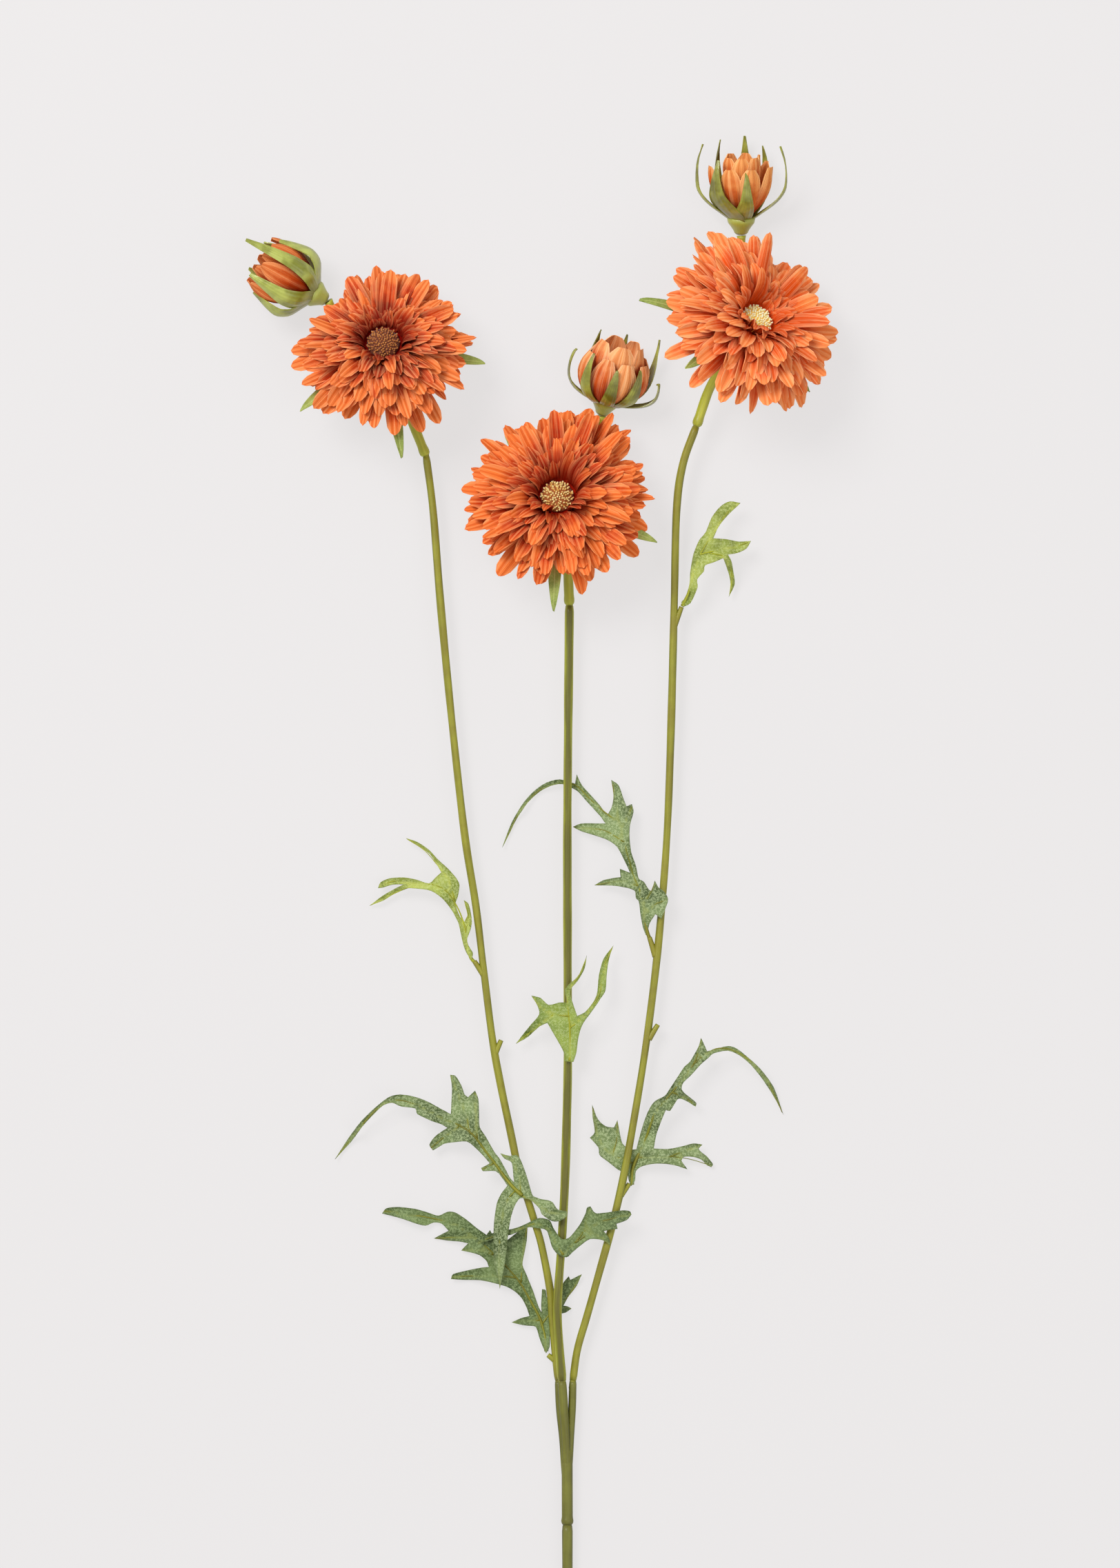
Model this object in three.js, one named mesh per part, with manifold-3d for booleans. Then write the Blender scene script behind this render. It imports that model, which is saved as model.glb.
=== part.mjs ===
// A branched gerbera spray lying on its back: one stem that forks into three branches, each with
// a double bloom and a side bud, and eight cut leaves. Millimetres. While it is being built, X runs
// across the spray, Y from the cut end (Y = 0) to the buds, and Z up from the surface it lies on.
import * as THREE from 'three';
import { mergeVertices } from 'three/addons/utils/BufferGeometryUtils.js';
import Module from 'manifold-3d';

const wasm = await Module();
wasm.setup();

// ---- driving dimensions -------------------------------------------------------------------------

const CLEARANCE = 0.35; // gap kept between pieces that touch
const SHEET = 0.8; // thickness of petals, sepals and leaves
const STEM_RADIUS = 2.3;
const MIDDLE_RADIUS = 1.9;
const SIDE_RADIUS = 1.65;
const NECK_RADIUS = 2.1;
const BUD_STEM_RADIUS = 1.5;
const PEG_RADIUS = 1.2;
const BLOOM_REACH = 43; // radius of a bloom's largest petal layer
const ROOT_RADIUS = 7; // where the petals of a layer part from its hub
const PIN_RADIUS = 1.9; // the pin that strings a bloom's layers together
const PIN_HOLE = 2.3;
const LAYER_PITCH = SHEET + CLEARANCE;

// From the outermost layer to the innermost: petal count, reach as a share of the bloom's, and the
// slope that its petals stand up at.
const PETAL_LAYERS = [
  { petals: 20, reach: 1.0, slope: 0.035 },
  { petals: 20, reach: 0.965, slope: 0.088 },
  { petals: 18, reach: 0.885, slope: 0.165 },
  { petals: 18, reach: 0.765, slope: 0.27 },
  { petals: 16, reach: 0.6, slope: 0.43 },
  { petals: 14, reach: 0.395, slope: 0.82 },
];

// ---- materials ----------------------------------------------------------------------------------

const paint = (color, roughness) => new THREE.MeshStandardMaterial({ color, roughness, metalness: 0 });
const STEM_GREEN = paint(0x8f8a38, 0.55);
const MIDDLE_GREEN = paint(0x5f5a28, 0.5);
const NECK_GREEN = paint(0xa3a637, 0.45);
const PETAL_ORANGE = paint(0xd4622a, 0.85);
const BUD_PEACH = paint(0xe6925a, 0.85);
const DISC_YELLOW = paint(0xc9a75a, 0.9);
const SEPAL_GREEN = paint(0x9fa85e, 0.6);
const LEAF_LIGHT = paint(0xa4ae5c, 0.8);
const LEAF_GREY = paint(0x84946a, 0.8);

// ---- geometry helpers ---------------------------------------------------------------------------

const vector = ([x, y, z]) => new THREE.Vector3(x, y, z);

// One closed mesh with shared corners and no collapsed triangles.
function weld(geometry) {
  geometry.deleteAttribute('normal');
  geometry.deleteAttribute('uv');
  const merged = mergeVertices(geometry, 1e-4);
  const corners = merged.getIndex().array;
  const kept = [];
  for (let i = 0; i < corners.length; i += 3) {
    const [a, b, c] = [corners[i], corners[i + 1], corners[i + 2]];
    if (a !== b && b !== c && c !== a) kept.push(a, b, c);
  }
  merged.setIndex(kept);
  return merged;
}

function toSolid(geometry) {
  const welded = weld(geometry);
  return new wasm.Manifold(new wasm.Mesh({
    numProp: 3,
    vertProperties: new Float32Array(welded.getAttribute('position').array),
    triVerts: new Uint32Array(welded.getIndex().array),
  }));
}

function joined(geometries) {
  const mesh = geometries.map(toSolid).reduce((whole, next) => whole.add(next)).getMesh();
  const result = new THREE.BufferGeometry();
  result.setAttribute('position', new THREE.BufferAttribute(new Float32Array(mesh.vertProperties), 3));
  result.setIndex(Array.from(mesh.triVerts));
  return result;
}

function tube(points, radius, steps, sides = 8) {
  const section = new THREE.Shape();
  for (let side = 0; side < sides; side += 1) {
    const angle = (side / sides) * 2 * Math.PI;
    const [x, y] = [radius * Math.cos(angle), radius * Math.sin(angle)];
    if (side === 0) section.moveTo(x, y);
    else section.lineTo(x, y);
  }
  section.closePath();
  const extrudePath = new THREE.CatmullRomCurve3(points.map(vector));
  return new THREE.ExtrudeGeometry(section, { steps, extrudePath, bevelEnabled: false });
}

function turned(profile, segments) {
  const points = profile.map(([radius, height]) => new THREE.Vector2(radius, height));
  return new THREE.LatheGeometry(points, segments).rotateX(Math.PI / 2);
}

// A closed sheet: the surface pushed half the thickness both ways along each point's offset
// direction, with walls along the edges that only one face uses.
function thickSheet(points, offsets, faces) {
  const count = points.length;
  const positions = [];
  for (const way of [0.5, -0.5]) {
    points.forEach((point, i) => {
      const moved = point.clone().addScaledVector(offsets[i], way * SHEET);
      positions.push(moved.x, moved.y, moved.z);
    });
  }
  const used = new Set(faces.flatMap(([a, b, c]) => [`${a},${b}`, `${b},${c}`, `${c},${a}`]));
  const index = [];
  for (const [a, b, c] of faces) {
    index.push(a, b, c, count + a, count + c, count + b);
    for (const [from, to] of [[a, b], [b, c], [c, a]]) {
      if (used.has(`${to},${from}`)) continue;
      index.push(from, count + to, to, from, count + from, count + to);
    }
  }
  const geometry = new THREE.BufferGeometry();
  geometry.setAttribute('position', new THREE.Float32BufferAttribute(positions, 3));
  geometry.setIndex(index);
  return geometry;
}

const around = (radius, angle, height) => (
  new THREE.Vector3(radius * Math.cos(angle), radius * Math.sin(angle), height)
);

// ---- one layer of petals ------------------------------------------------------------------------

// A die-cut sheet: a flat hub with a pin hole, and petals that rise from it as a shallow cone.
function petalLayer(layer, order, reach, dents) {
  const { petals, slope } = layer;
  const seat = order * LAYER_PITCH;
  const step = (2 * Math.PI) / petals;
  const turn = order * 0.37; // keeps a layer's petals off the ones below
  const up = new THREE.Vector3(0, 0, 1);
  const points = [];
  const faces = [];
  const onCone = (radius, angle) => around(radius, angle, seat + (radius - ROOT_RADIUS) * slope);
  const reachAt = (angle) => dents.reduce((length, dent) => {
    const away = Math.atan2(Math.sin(angle - dent.angle), Math.cos(angle - dent.angle));
    return length * (1 - dent.depth * Math.exp(-((away / dent.spread) ** 2)));
  }, reach * layer.reach);
  for (let petal = 0; petal < petals; petal += 1) {
    const valley = turn + (petal - 0.5) * step;
    const tip = turn + petal * step;
    points.push(around(PIN_HOLE, valley, seat), around(ROOT_RADIUS, valley, seat));
    points.push(onCone(0.84 * reachAt(valley), valley), onCone(reachAt(tip), tip));
    const [hole, root, notch, point] = [0, 1, 2, 3].map((i) => 4 * petal + i);
    const [nextHole, nextRoot, nextNotch] = [0, 1, 2].map((i) => 4 * ((petal + 1) % petals) + i);
    faces.push([hole, root, nextRoot], [hole, nextRoot, nextHole]);
    faces.push([root, notch, point], [root, point, nextRoot], [nextRoot, point, nextNotch]);
  }
  return thickSheet(points, points.map(() => up), faces);
}

// ---- a whorl of sepals or bud petals --------------------------------------------------------------

// Lobes that grow from one hub, listed anticlockwise. Each station of a lobe gives its distance
// from the axis, its height and its half width. A lobe may be longer or shorter (out) and bend up
// or down (lift).
function whorl(lobes, stations, hole) {
  const up = new THREE.Vector3(0, 0, 1);
  const [root] = stations;
  const rim = [];
  const points = [];
  const offsets = [];
  const faces = [];
  const put = (point, offset) => points.push(point) && offsets.push(offset) && points.length - 1;
  for (const { angle, out, lift } of lobes) {
    const spread = Math.asin(root.half / root.radius);
    let right = put(around(root.radius, angle - spread, root.height), up);
    let left = put(around(root.radius, angle + spread, root.height), up);
    rim.push({ at: angle - spread, point: right }, { at: angle + spread, point: left });
    for (let i = 1; i < stations.length; i += 1) {
      const { radius, height, half } = stations[i];
      const before = stations[i - 1];
      const along = i / (stations.length - 1);
      const distance = root.radius + (radius - root.radius) * out;
      const centre = around(distance, angle, height + lift * along * along);
      const side = around(1, angle + Math.PI / 2, 0);
      const steep = Math.atan2(height - before.height, (radius - before.radius) * out);
      const offset = around(-Math.sin(steep), angle, Math.cos(steep));
      const nextRight = put(centre.clone().addScaledVector(side, -half), offset);
      if (half === 0) {
        faces.push([right, nextRight, left]);
        break;
      }
      const nextLeft = put(centre.clone().addScaledVector(side, half), offset);
      faces.push([right, nextRight, nextLeft], [right, nextLeft, left]);
      [right, left] = [nextRight, nextLeft];
    }
  }
  const middle = hole > 0 ? null : put(around(0, 0, root.height), up);
  const inner = rim.map(({ at }) => (hole > 0 ? put(around(hole, at, root.height), up) : middle));
  rim.forEach(({ point }, i) => {
    const next = (i + 1) % rim.length;
    faces.push([inner[i], point, rim[next].point]);
    if (hole > 0) faces.push([inner[i], rim[next].point, inner[next]]);
  });
  return thickSheet(points, offsets, faces);
}

const lobesAt = (rows) => rows.map(([degrees, out, lift]) => (
  { angle: THREE.MathUtils.degToRad(degrees), out, lift }
));

// ---- leaves ---------------------------------------------------------------------------------------

// Height of a leaf at a place: the listed heights, each counting more the nearer it is.
function heightAt(x, y, heights) {
  let sum = 0;
  let weights = 0;
  for (const [atX, atY, z] of heights) {
    const weight = 1 / ((x - atX) ** 2 + (y - atY) ** 2 + 2) ** 2;
    sum += weight * z;
    weights += weight;
  }
  return sum / weights;
}

function leafSheet({ outline, heights }) {
  const contour = outline.map(([x, y]) => new THREE.Vector2(x, y));
  const faces = THREE.ShapeUtils.triangulateShape(contour, []);
  const points = outline.map(([x, y]) => new THREE.Vector3(x, y, heightAt(x, y, heights)));
  return thickSheet(points, points.map(() => new THREE.Vector3(0, 0, 1)), faces);
}

// Outlines run anticlockwise from the leaf's foot. Heights are [x, y, height of the mid surface].
const LEAVES = {
  leaf_upper_right: {
    material: LEAF_LIGHT,
    outline: [
      [50.6, 498.2], [53.8, 499.8], [56.8, 506.5], [56.6, 510], [59.5, 513.5], [60, 516], [64, 517.5],
      [68, 519.3], [70.3, 513], [71.3, 508], [70.5, 502.5], [73, 508], [72.5, 513], [71.5, 518],
      [70, 520.8], [74, 521.5], [78, 523.5], [80, 526.8], [75, 526.5], [69, 527.5], [63.5, 527.8],
      [66, 533], [70, 538], [75.5, 543.2], [71, 544], [67, 542], [63, 537], [60.3, 530.5],
      [57.5, 527], [55, 521], [53.6, 513], [53.3, 508], [51.5, 502], [49.9, 500.2],
    ],
    heights: [
      [50.5, 499, 8], [55, 510, 11], [60, 523, 14], [75, 543, 9], [79, 526, 8], [70.5, 503, 3],
    ],
  },
  leaf_upper_left: {
    material: LEAF_LIGHT,
    outline: [
      [-41.4, 344.8], [-41, 347.6], [-43, 351], [-43.3, 354], [-41.9, 358], [-41.4, 361], [-41.9, 365],
      [-43, 369], [-44.8, 370.4], [-43.2, 364.6], [-44.5, 361.2], [-46.5, 363], [-48.5, 368.5],
      [-47.5, 372], [-46.7, 377], [-48, 380], [-51.5, 384], [-56.5, 388.5], [-60, 392.3], [-65, 395.7],
      [-70, 397.4], [-65, 394.2], [-59.4, 390.4], [-54.6, 382.6], [-57, 380.5], [-60, 377.8],
      [-65, 379.3], [-71, 380.3], [-77, 380], [-81, 378.3], [-82.2, 375.8], [-80, 376],
      [-76, 377.2], [-71, 377.4], [-75, 375.4], [-80, 372.5], [-86, 368], [-80, 370.3], [-75, 373.4],
      [-70, 375.7], [-64, 375.4], [-59, 374.6], [-54, 371.2], [-50, 366], [-47.3, 361], [-46.5, 358],
      [-45, 351], [-43.2, 346.8],
    ],
    heights: [
      [-42.5, 347, 6], [-45, 360, 7.5], [-42, 362, 3.4], [-51, 377, 9], [-65, 378, 6.5],
      [-82, 377, 2.5], [-86, 368, 1.2], [-70, 397, 3],
    ],
  },
  leaf_middle_right: {
    material: LEAF_GREY,
    outline: [
      [35.6, 355.6], [35.4, 358], [36, 360.5], [38.5, 364.5], [41, 362.5], [42.7, 366.5], [44, 371],
      [42, 374.5], [39.8, 376], [38.2, 379], [37, 374.4], [35.5, 375.3], [33.5, 378.5], [31.2, 380],
      [30, 385.5], [28, 391], [27.2, 397.5], [27.5, 403.5], [29, 409], [28.3, 412.3], [26, 411.3],
      [24.5, 415], [22.5, 420.5], [19.3, 422.8], [20.3, 416], [19.5, 411], [17.5, 407.4],
      [14.5, 411.5], [10, 416.5], [6.5, 420.5], [4.3, 425.2], [3.6, 421.2], [-3, 423], [-9, 421.6],
      [-14, 418.2], [-19, 412.7], [-24, 404.4], [-28.2, 393.3], [-26, 397.6], [-22, 405.6],
      [-17, 413], [-12, 417.6], [-7, 420.3], [-2, 421], [2.5, 419.2], [5, 417.6], [9, 413.2],
      [14, 407.7], [16.8, 403.9], [12, 403.9], [6, 403.8], [2.6, 402.4], [6, 400.6], [12, 398.8],
      [18, 396.5], [22, 393.5], [25.5, 387], [27.6, 382.4], [26, 383], [23, 384.2], [23.4, 380.5],
      [21, 380.2], [16, 379.2], [12, 377], [20, 376.8], [26, 376], [29.6, 374.6], [30, 371.5],
      [31.3, 370], [31.9, 365], [33, 359], [34.4, 355.2],
    ],
    heights: [
      [35, 356, 6], [33, 368, 8], [40, 366, 9.6], [42, 372, 9.6], [12, 377, 4], [26, 388, 7],
      [24, 402, 6], [20, 421, 5], [14, 408, 4], [4, 402, 2.6], [4, 420, 2.4], [0, 422, 2],
      [-14, 418, 1.6], [-28, 394, 0.8],
    ],
  },
  leaf_middle: {
    material: LEAF_LIGHT,
    outline: [
      [2.8, 300.2], [4, 304], [5, 311], [7, 317], [11, 322.5], [15, 328.3], [16.8, 331.5], [17.3, 338],
      [18.3, 345], [20.3, 350.8], [16, 345], [14, 338], [13.3, 331], [12, 327], [8, 322],
      [4.5, 320.2], [2.8, 325], [1.4, 329.6], [1.7, 332], [4.8, 335.6], [7.6, 340.8], [8.6, 346.5],
      [7.2, 341.6], [4.4, 337], [1, 334], [-0.8, 331], [0.4, 326], [-3.5, 326], [-8, 325],
      [-11.5, 328], [-15.5, 329], [-13, 325], [-12, 321], [-15.5, 316.5], [-19.5, 311.5],
      [-22.2, 308], [-17, 311], [-12, 315.5], [-8.5, 317.2], [-5.5, 312], [-2.6, 307], [-1.2, 304],
      [-0.9, 300.5],
    ],
    heights: [
      [1, 300, 9], [1, 312, 10], [0, 322, 11], [1, 331, 10.5], [8, 345, 8], [8, 320, 11],
      [16, 335, 9], [20, 350, 6], [-10, 322, 9], [-15, 328, 7], [-22, 308, 4],
    ],
  },
  leaf_lower_right: {
    material: LEAF_GREY,
    outline: [
      [28, 246], [29.6, 248.4], [30, 252.5], [32.5, 254.5], [37, 255.7], [43, 255.8], [48, 254.8],
      [52.5, 253.3], [49.8, 257], [51, 258.8], [55, 258.7], [58.5, 257.5], [61, 255], [63, 254.2],
      [63.6, 255.5], [61, 258.8], [58.3, 261], [57.3, 262.3], [59, 264], [55, 264.5], [50, 263.3],
      [44, 262.2], [37.8, 262.4], [38.8, 268], [41, 274.5], [43, 279.3], [45, 279], [48, 283.8],
      [50, 284], [53, 282.5], [56, 280.6], [56.3, 282.2], [53, 285], [50, 288], [50.5, 291],
      [54, 294.5], [58, 299], [61.5, 302], [64, 304], [70, 305.1], [75, 303], [80, 298.9],
      [86, 291.4], [91, 283.4], [94.3, 277], [90, 289], [84, 297.2], [79, 301.9], [74, 305.8],
      [70, 307], [64, 305.6], [61, 304.8], [59.5, 308], [58.3, 310.6], [57.3, 307], [55.5, 303.5],
      [53.5, 300.2], [51, 298], [48, 293.5], [44.5, 288], [42.5, 285.3], [38.5, 283.3], [36, 280],
      [33.5, 274], [31.5, 267], [30.3, 262], [27.5, 262], [24.2, 264.5], [23, 269], [22, 274.7],
      [20.5, 271.5], [17, 272], [13.5, 275], [11, 281.3], [11.2, 276], [12.2, 269.5], [10, 267],
      [13.8, 262.8], [14.2, 259.5], [18, 256.5], [22.5, 253], [26.4, 251], [27, 248.6],
    ],
    heights: [
      [28, 247, 3.4], [27, 256, 3], [22, 260, 2.4], [12, 268, 1.6], [11, 280, 4], [22, 274, 4],
      [33, 262, 4.6], [38, 275, 8], [48, 290, 10], [58, 300, 9], [70, 306, 8], [94, 278, 1],
      [45, 259, 5.5], [58, 263, 3], [63, 255, 1.2], [56, 281, 5],
    ],
  },
  leaf_lower_left: {
    material: LEAF_GREY,
    outline: [
      [-18.7, 240.8], [-16, 240.3], [-12, 236.5], [-10.8, 233.9], [-6.5, 231], [-3, 231.2],
      [-0.2, 233], [-0.1, 235.2], [-4, 236], [-6, 239], [-8, 240], [-11, 240.5], [-14.5, 241.7],
      [-15.3, 243], [-17, 249], [-18.5, 253.5], [-20.3, 258], [-22.2, 259.7], [-25, 259.3],
      [-29, 260.4], [-27, 258], [-24, 256.3], [-23.3, 250.5], [-22.9, 247.7], [-24.8, 249.7],
      [-27.3, 254.5], [-29.4, 258.2], [-31.6, 261], [-35.5, 268], [-38, 272], [-38.2, 278],
      [-38.5, 284], [-40, 287.6], [-43, 284.8], [-44.5, 286], [-46, 290], [-48.5, 294],
      [-50.8, 294.5], [-50, 289], [-50.2, 283], [-50.5, 277.5], [-54, 279.3], [-60, 282.7],
      [-66, 285], [-72.5, 286], [-77, 285], [-80.5, 282.7], [-85, 278.8], [-90, 273.6],
      [-95, 267], [-101, 257.6], [-94, 265.2], [-89, 272], [-84, 277.4], [-80, 281.2],
      [-76, 282.4], [-72, 280.8], [-66, 279.9], [-65, 277.5], [-59, 274.6], [-54.5, 273],
      [-52, 271.5], [-55, 269.5], [-57.5, 267.5], [-59.8, 264], [-58.3, 261.6], [-55.5, 263.2],
      [-53, 264.6], [-49, 265.2], [-43.5, 265.6], [-39.5, 262.5], [-36, 259], [-33.5, 256],
      [-37.3, 253.9], [-36.5, 252.6], [-31, 252.7], [-28, 249.5], [-25.9, 246.3], [-28.5, 243],
      [-30.5, 238.5], [-31.7, 230], [-31.9, 220], [-31.5, 212], [-30, 207], [-29.2, 201.3],
      [-27.8, 208], [-26.5, 216], [-25.5, 226], [-24, 234], [-22.5, 238], [-20.5, 240.8],
    ],
    heights: [
      [-20, 244, 8.6], [-20, 256, 9], [-26, 259, 8], [-10, 237, 9.4], [-2, 233, 9.6],
      [-25, 250, 8], [-34, 260, 8.4], [-42, 272, 9.5], [-40, 286, 7], [-50, 293, 6],
      [-60, 280, 9], [-76, 284, 8], [-101, 258, 1], [-58, 263, 4.5], [-37, 253, 6],
      [-27, 240, 9], [-29, 226, 8.2], [-29, 212, 6], [-29, 202, 4.6],
    ],
  },
  leaf_lowest: {
    material: LEAF_GREY,
    outline: [
      [-9.1, 173.2], [-7.6, 176], [-7.4, 182], [-6.8, 187], [-3.5, 190], [-0.5, 190.8], [2, 192.5],
      [0.2, 193.5], [-1.5, 193.8], [0.5, 197.5], [4, 202], [6.5, 207.5], [1.5, 205], [0.8, 206.6],
      [-2, 203], [-3, 198.6], [-6, 197], [-8.8, 197.4], [-9.3, 200.6], [-10.8, 201], [-11.2, 194],
      [-11, 190.8], [-12.2, 192.9], [-13.3, 196], [-15, 201], [-17.5, 207], [-19.3, 211.5],
      [-18.7, 216], [-17.5, 222], [-17.2, 228.8], [-22, 225.5], [-27, 222], [-31, 223],
      [-33.5, 226.8], [-35, 224.7], [-39, 227.5], [-44, 231.5], [-48.5, 234.5], [-52, 234.8],
      [-56, 233], [-60, 234.2], [-66, 236], [-73, 236.8], [-78.5, 236.2], [-80.5, 234],
      [-72, 231.8], [-66, 229.8], [-61.5, 228.7], [-58, 230], [-54.5, 229.5], [-51.5, 226.5],
      [-55, 224.6], [-58, 223], [-52, 222.2], [-47, 221.8], [-43, 221], [-44.5, 219.5],
      [-46, 217.8], [-42, 217], [-38, 216], [-35, 213.5], [-34, 210.8], [-38, 210.3], [-44, 209],
      [-49.5, 207.5], [-50.5, 205.5], [-44, 205], [-38, 205], [-35, 204.5], [-30, 203.3],
      [-26, 202], [-22.5, 200], [-19.5, 197], [-17.5, 193], [-16.3, 189.3], [-20, 188.3],
      [-24, 186.5], [-20.5, 185.6], [-17, 185.1], [-13.5, 184.5], [-12, 180], [-10.6, 176.4],
    ],
    heights: [
      [-9, 174, 2.2], [-10, 184, 0.9], [-4, 193, 0.6], [2, 200, 0.6], [-8, 199, 0.6],
      [-24, 186, 0.7], [-18, 200, 1.6], [-22, 214, 2.6], [-17, 228, 1.2], [-33, 218, 3],
      [-29, 208, 2.2], [-50, 206, 0.8], [-46, 218, 1.2], [-46, 230, 3.4], [-58, 223, 0.8],
      [-66, 233, 2.6], [-80, 235, 0.7],
    ],
  },
  leaf_low_middle: {
    material: LEAF_GREY,
    outline: [
      [-0.2, 215.2], [2.5, 217.5], [6, 220.5], [10, 223.2], [15, 222.8], [17.2, 221.8], [18.7, 220.3],
      [18.5, 223], [17, 225.5], [16, 226.6], [19, 227.3], [22, 227.6], [21.5, 229.8], [26, 231.5],
      [28.1, 233.8], [27.3, 235.3], [24, 235.6], [18, 234.8], [13, 234.3], [11.5, 235.3],
      [10.3, 237.3], [8.8, 236.8], [8.2, 234.5], [6, 230], [3, 226], [1, 223.8], [-1.5, 223],
      [-3.5, 224.4], [-6, 228], [-7.5, 231.3], [-12, 232.3], [-17, 230], [-21.5, 228],
      [-27, 226.8], [-33, 225.3], [-36, 224], [-38.5, 221.8], [-35, 221.8], [-30, 223.6],
      [-24, 225.1], [-20, 226.8], [-16.5, 228.2], [-13, 227.8], [-9.8, 227.4], [-8.3, 226],
      [-6.5, 220], [-4, 216.6],
    ],
    heights: [
      [-1, 216, 9.4], [-4, 222, 9], [-9, 229, 7.6], [-14, 229.5, 7.4], [-22, 227, 6.4],
      [-30, 225, 5.4], [-38, 222, 4.6], [6, 222, 9.4], [10, 236, 9.4], [18, 222, 9.2],
      [20, 231, 9.4], [28, 234, 9.2],
    ],
  },
};

// ---- stems ----------------------------------------------------------------------------------------

const LEFT_ROUTE = [
  [-3.7, 161.4, 3.2], [-4.8, 172, 3.1], [-6.3, 188, 3.1], [-7.2, 200, 3.2], [-11, 220, 4.0],
  [-13.9, 230, 4.6], [-17, 240, 5.2], [-20.4, 250, 5.6], [-24.6, 270, 6.1], [-28.8, 290, 6.2],
  [-32.4, 310, 6.2], [-36.2, 340, 6.2], [-39.6, 368, 6.2], [-44.6, 400, 6.4], [-50.2, 450, 7],
  [-55, 500, 7.6], [-58.2, 540, 8], [-61.2, 563.5, 8.2],
];
const MIDDLE_ROUTE = [
  [-2.1, 161.4, 7.2], [-3, 172, 7.1], [-4.1, 188, 7], [-3.8, 200, 6.8], [-2.4, 220, 6.2],
  [-1.5, 235, 6], [-0.8, 250, 6], [-0.2, 270, 6], [0.4, 300, 6.2], [0.3, 350, 6.2],
  [0.2, 400, 6.2], [0.5, 440, 6.6], [0.9, 480, 7.2], [1.1, 498.6, 7.6],
];
const RIGHT_ROUTE = [
  [2.6, 161.4, 4.4], [4.6, 175, 4.8], [8.9, 190, 5.4], [14.5, 210, 6], [20, 230, 6.3],
  [24.6, 250, 6.6], [28.3, 270, 6.6], [33.3, 300, 6.4], [37.4, 330, 6.4], [40.6, 360, 6.4],
  [43.6, 400, 6.6], [45.3, 445, 7], [46.7, 500, 8], [47.7, 540, 9], [50.4, 560, 9.8],
  [56.1, 576.4, 10.6],
];

// Stubs on a branch that a leaf's foot plugs on to; two of them are bare.
const PEGS = {
  left: [
    [[-5, 170, 3.1], [-8.3, 172.4, 2.9]],
    [[-31.6, 303, 6.2], [-28.6, 309.6, 6.6]],
    [[-36.2, 338, 6.2], [-40.3, 344, 6.2]],
  ],
  middle: [],
  right: [
    [[23.4, 242, 6.2], [27.1, 247, 4.8]],
    [[35.6, 310, 6.4], [39.6, 316.4, 6.4]],
    [[38.6, 346, 6.4], [35.9, 354.4, 6.4]],
    [[46.4, 489, 7.8], [49.9, 498.2, 7.8]],
  ],
};

function branch(route, radius, pegs) {
  const stubs = pegs.map(([from, to]) => tube([from, to], PEG_RADIUS, 1, 6));
  return joined([tube(route, radius, 20), ...stubs]);
}

// The moulded fork: a round sleeve below, with the feet of the three branches run into it.
function fork() {
  const sleeve = tube([[0.2, 98.6, 4], [0.1, 114, 4.1], [0, 131, 4.3]], STEM_RADIUS + 0.1, 3, 12);
  const feet = [
    tube([[-0.6, 120, 4], [-1.6, 134, 3.9], [-3, 148, 3.4], [-3.7, 161, 3.2]], SIDE_RADIUS, 5),
    tube([[0, 120, 4.2], [-0.4, 134, 5.2], [-1.3, 148, 6.6], [-2.1, 161, 7.2]], MIDDLE_RADIUS, 5),
    tube([[0.5, 120, 4], [1.4, 134, 4.1], [2.2, 148, 4.2], [2.6, 161, 4.4]], SIDE_RADIUS, 5),
  ];
  return joined([sleeve, ...feet]);
}

// ---- blooms ---------------------------------------------------------------------------------------

const SEPAL_STATIONS = [
  { radius: 8, height: -1.2, half: 2.6 },
  { radius: 20, height: -1.6, half: 3 },
  { radius: 33, height: -2.2, half: 2.6 },
  { radius: 42, height: -2.6, half: 1.6 },
  { radius: 46, height: -2.8, half: 0 },
];

// tilt leans the bloom's face over towards the heading; sepals are [angle, length, bend].
const BLOOMS = {
  left: {
    centre: [-79.5, 609.2, 24], tilt: 25, heading: 90, reach: 0.95 * BLOOM_REACH,
    dents: [[138, 0.2, 22]],
    sepals: [[-80, 1, -11], [-4, 0.95, -4], [68, 0.8, 0], [140, 0.35, 0], [-145, 0.95, -6]],
    neck: [[-77, 601.5, 11.2], [-71, 588, 9], [-61.4, 564, 8.2]],
  },
  middle: {
    centre: [-4.2, 543, 22], tilt: 22, heading: 90, reach: BLOOM_REACH,
    dents: [],
    sepals: [[-92, 1, -9], [-20, 1, -4], [52, 0.6, 0], [124, 0.85, 0], [-164, 0.8, 0]],
    neck: [[-3, 533, 10.6], [0, 518, 8.6], [1.1, 499, 7.6]],
  },
  right: {
    centre: [80.6, 621.4, 30.5], tilt: 38, heading: 45, reach: BLOOM_REACH,
    dents: [],
    sepals: [[-145, 0.8, -2], [-44, 0.8, 0], [28, 0.8, 0], [100, 0.45, 0], [172, 1.1, -4]],
    neck: [[70, 606, 18], [62, 593, 13], [56.3, 576.8, 10.7]],
  },
};

const degrees = THREE.MathUtils.degToRad;

function bloomMatrix({ centre, tilt, heading }) {
  const [lean, compass] = [degrees(tilt), degrees(heading)];
  const facing = around(Math.sin(lean), compass, Math.cos(lean));
  const turn = new THREE.Quaternion().setFromUnitVectors(new THREE.Vector3(0, 0, 1), facing);
  return new THREE.Matrix4().compose(vector(centre), turn, new THREE.Vector3(1, 1, 1));
}

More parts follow.
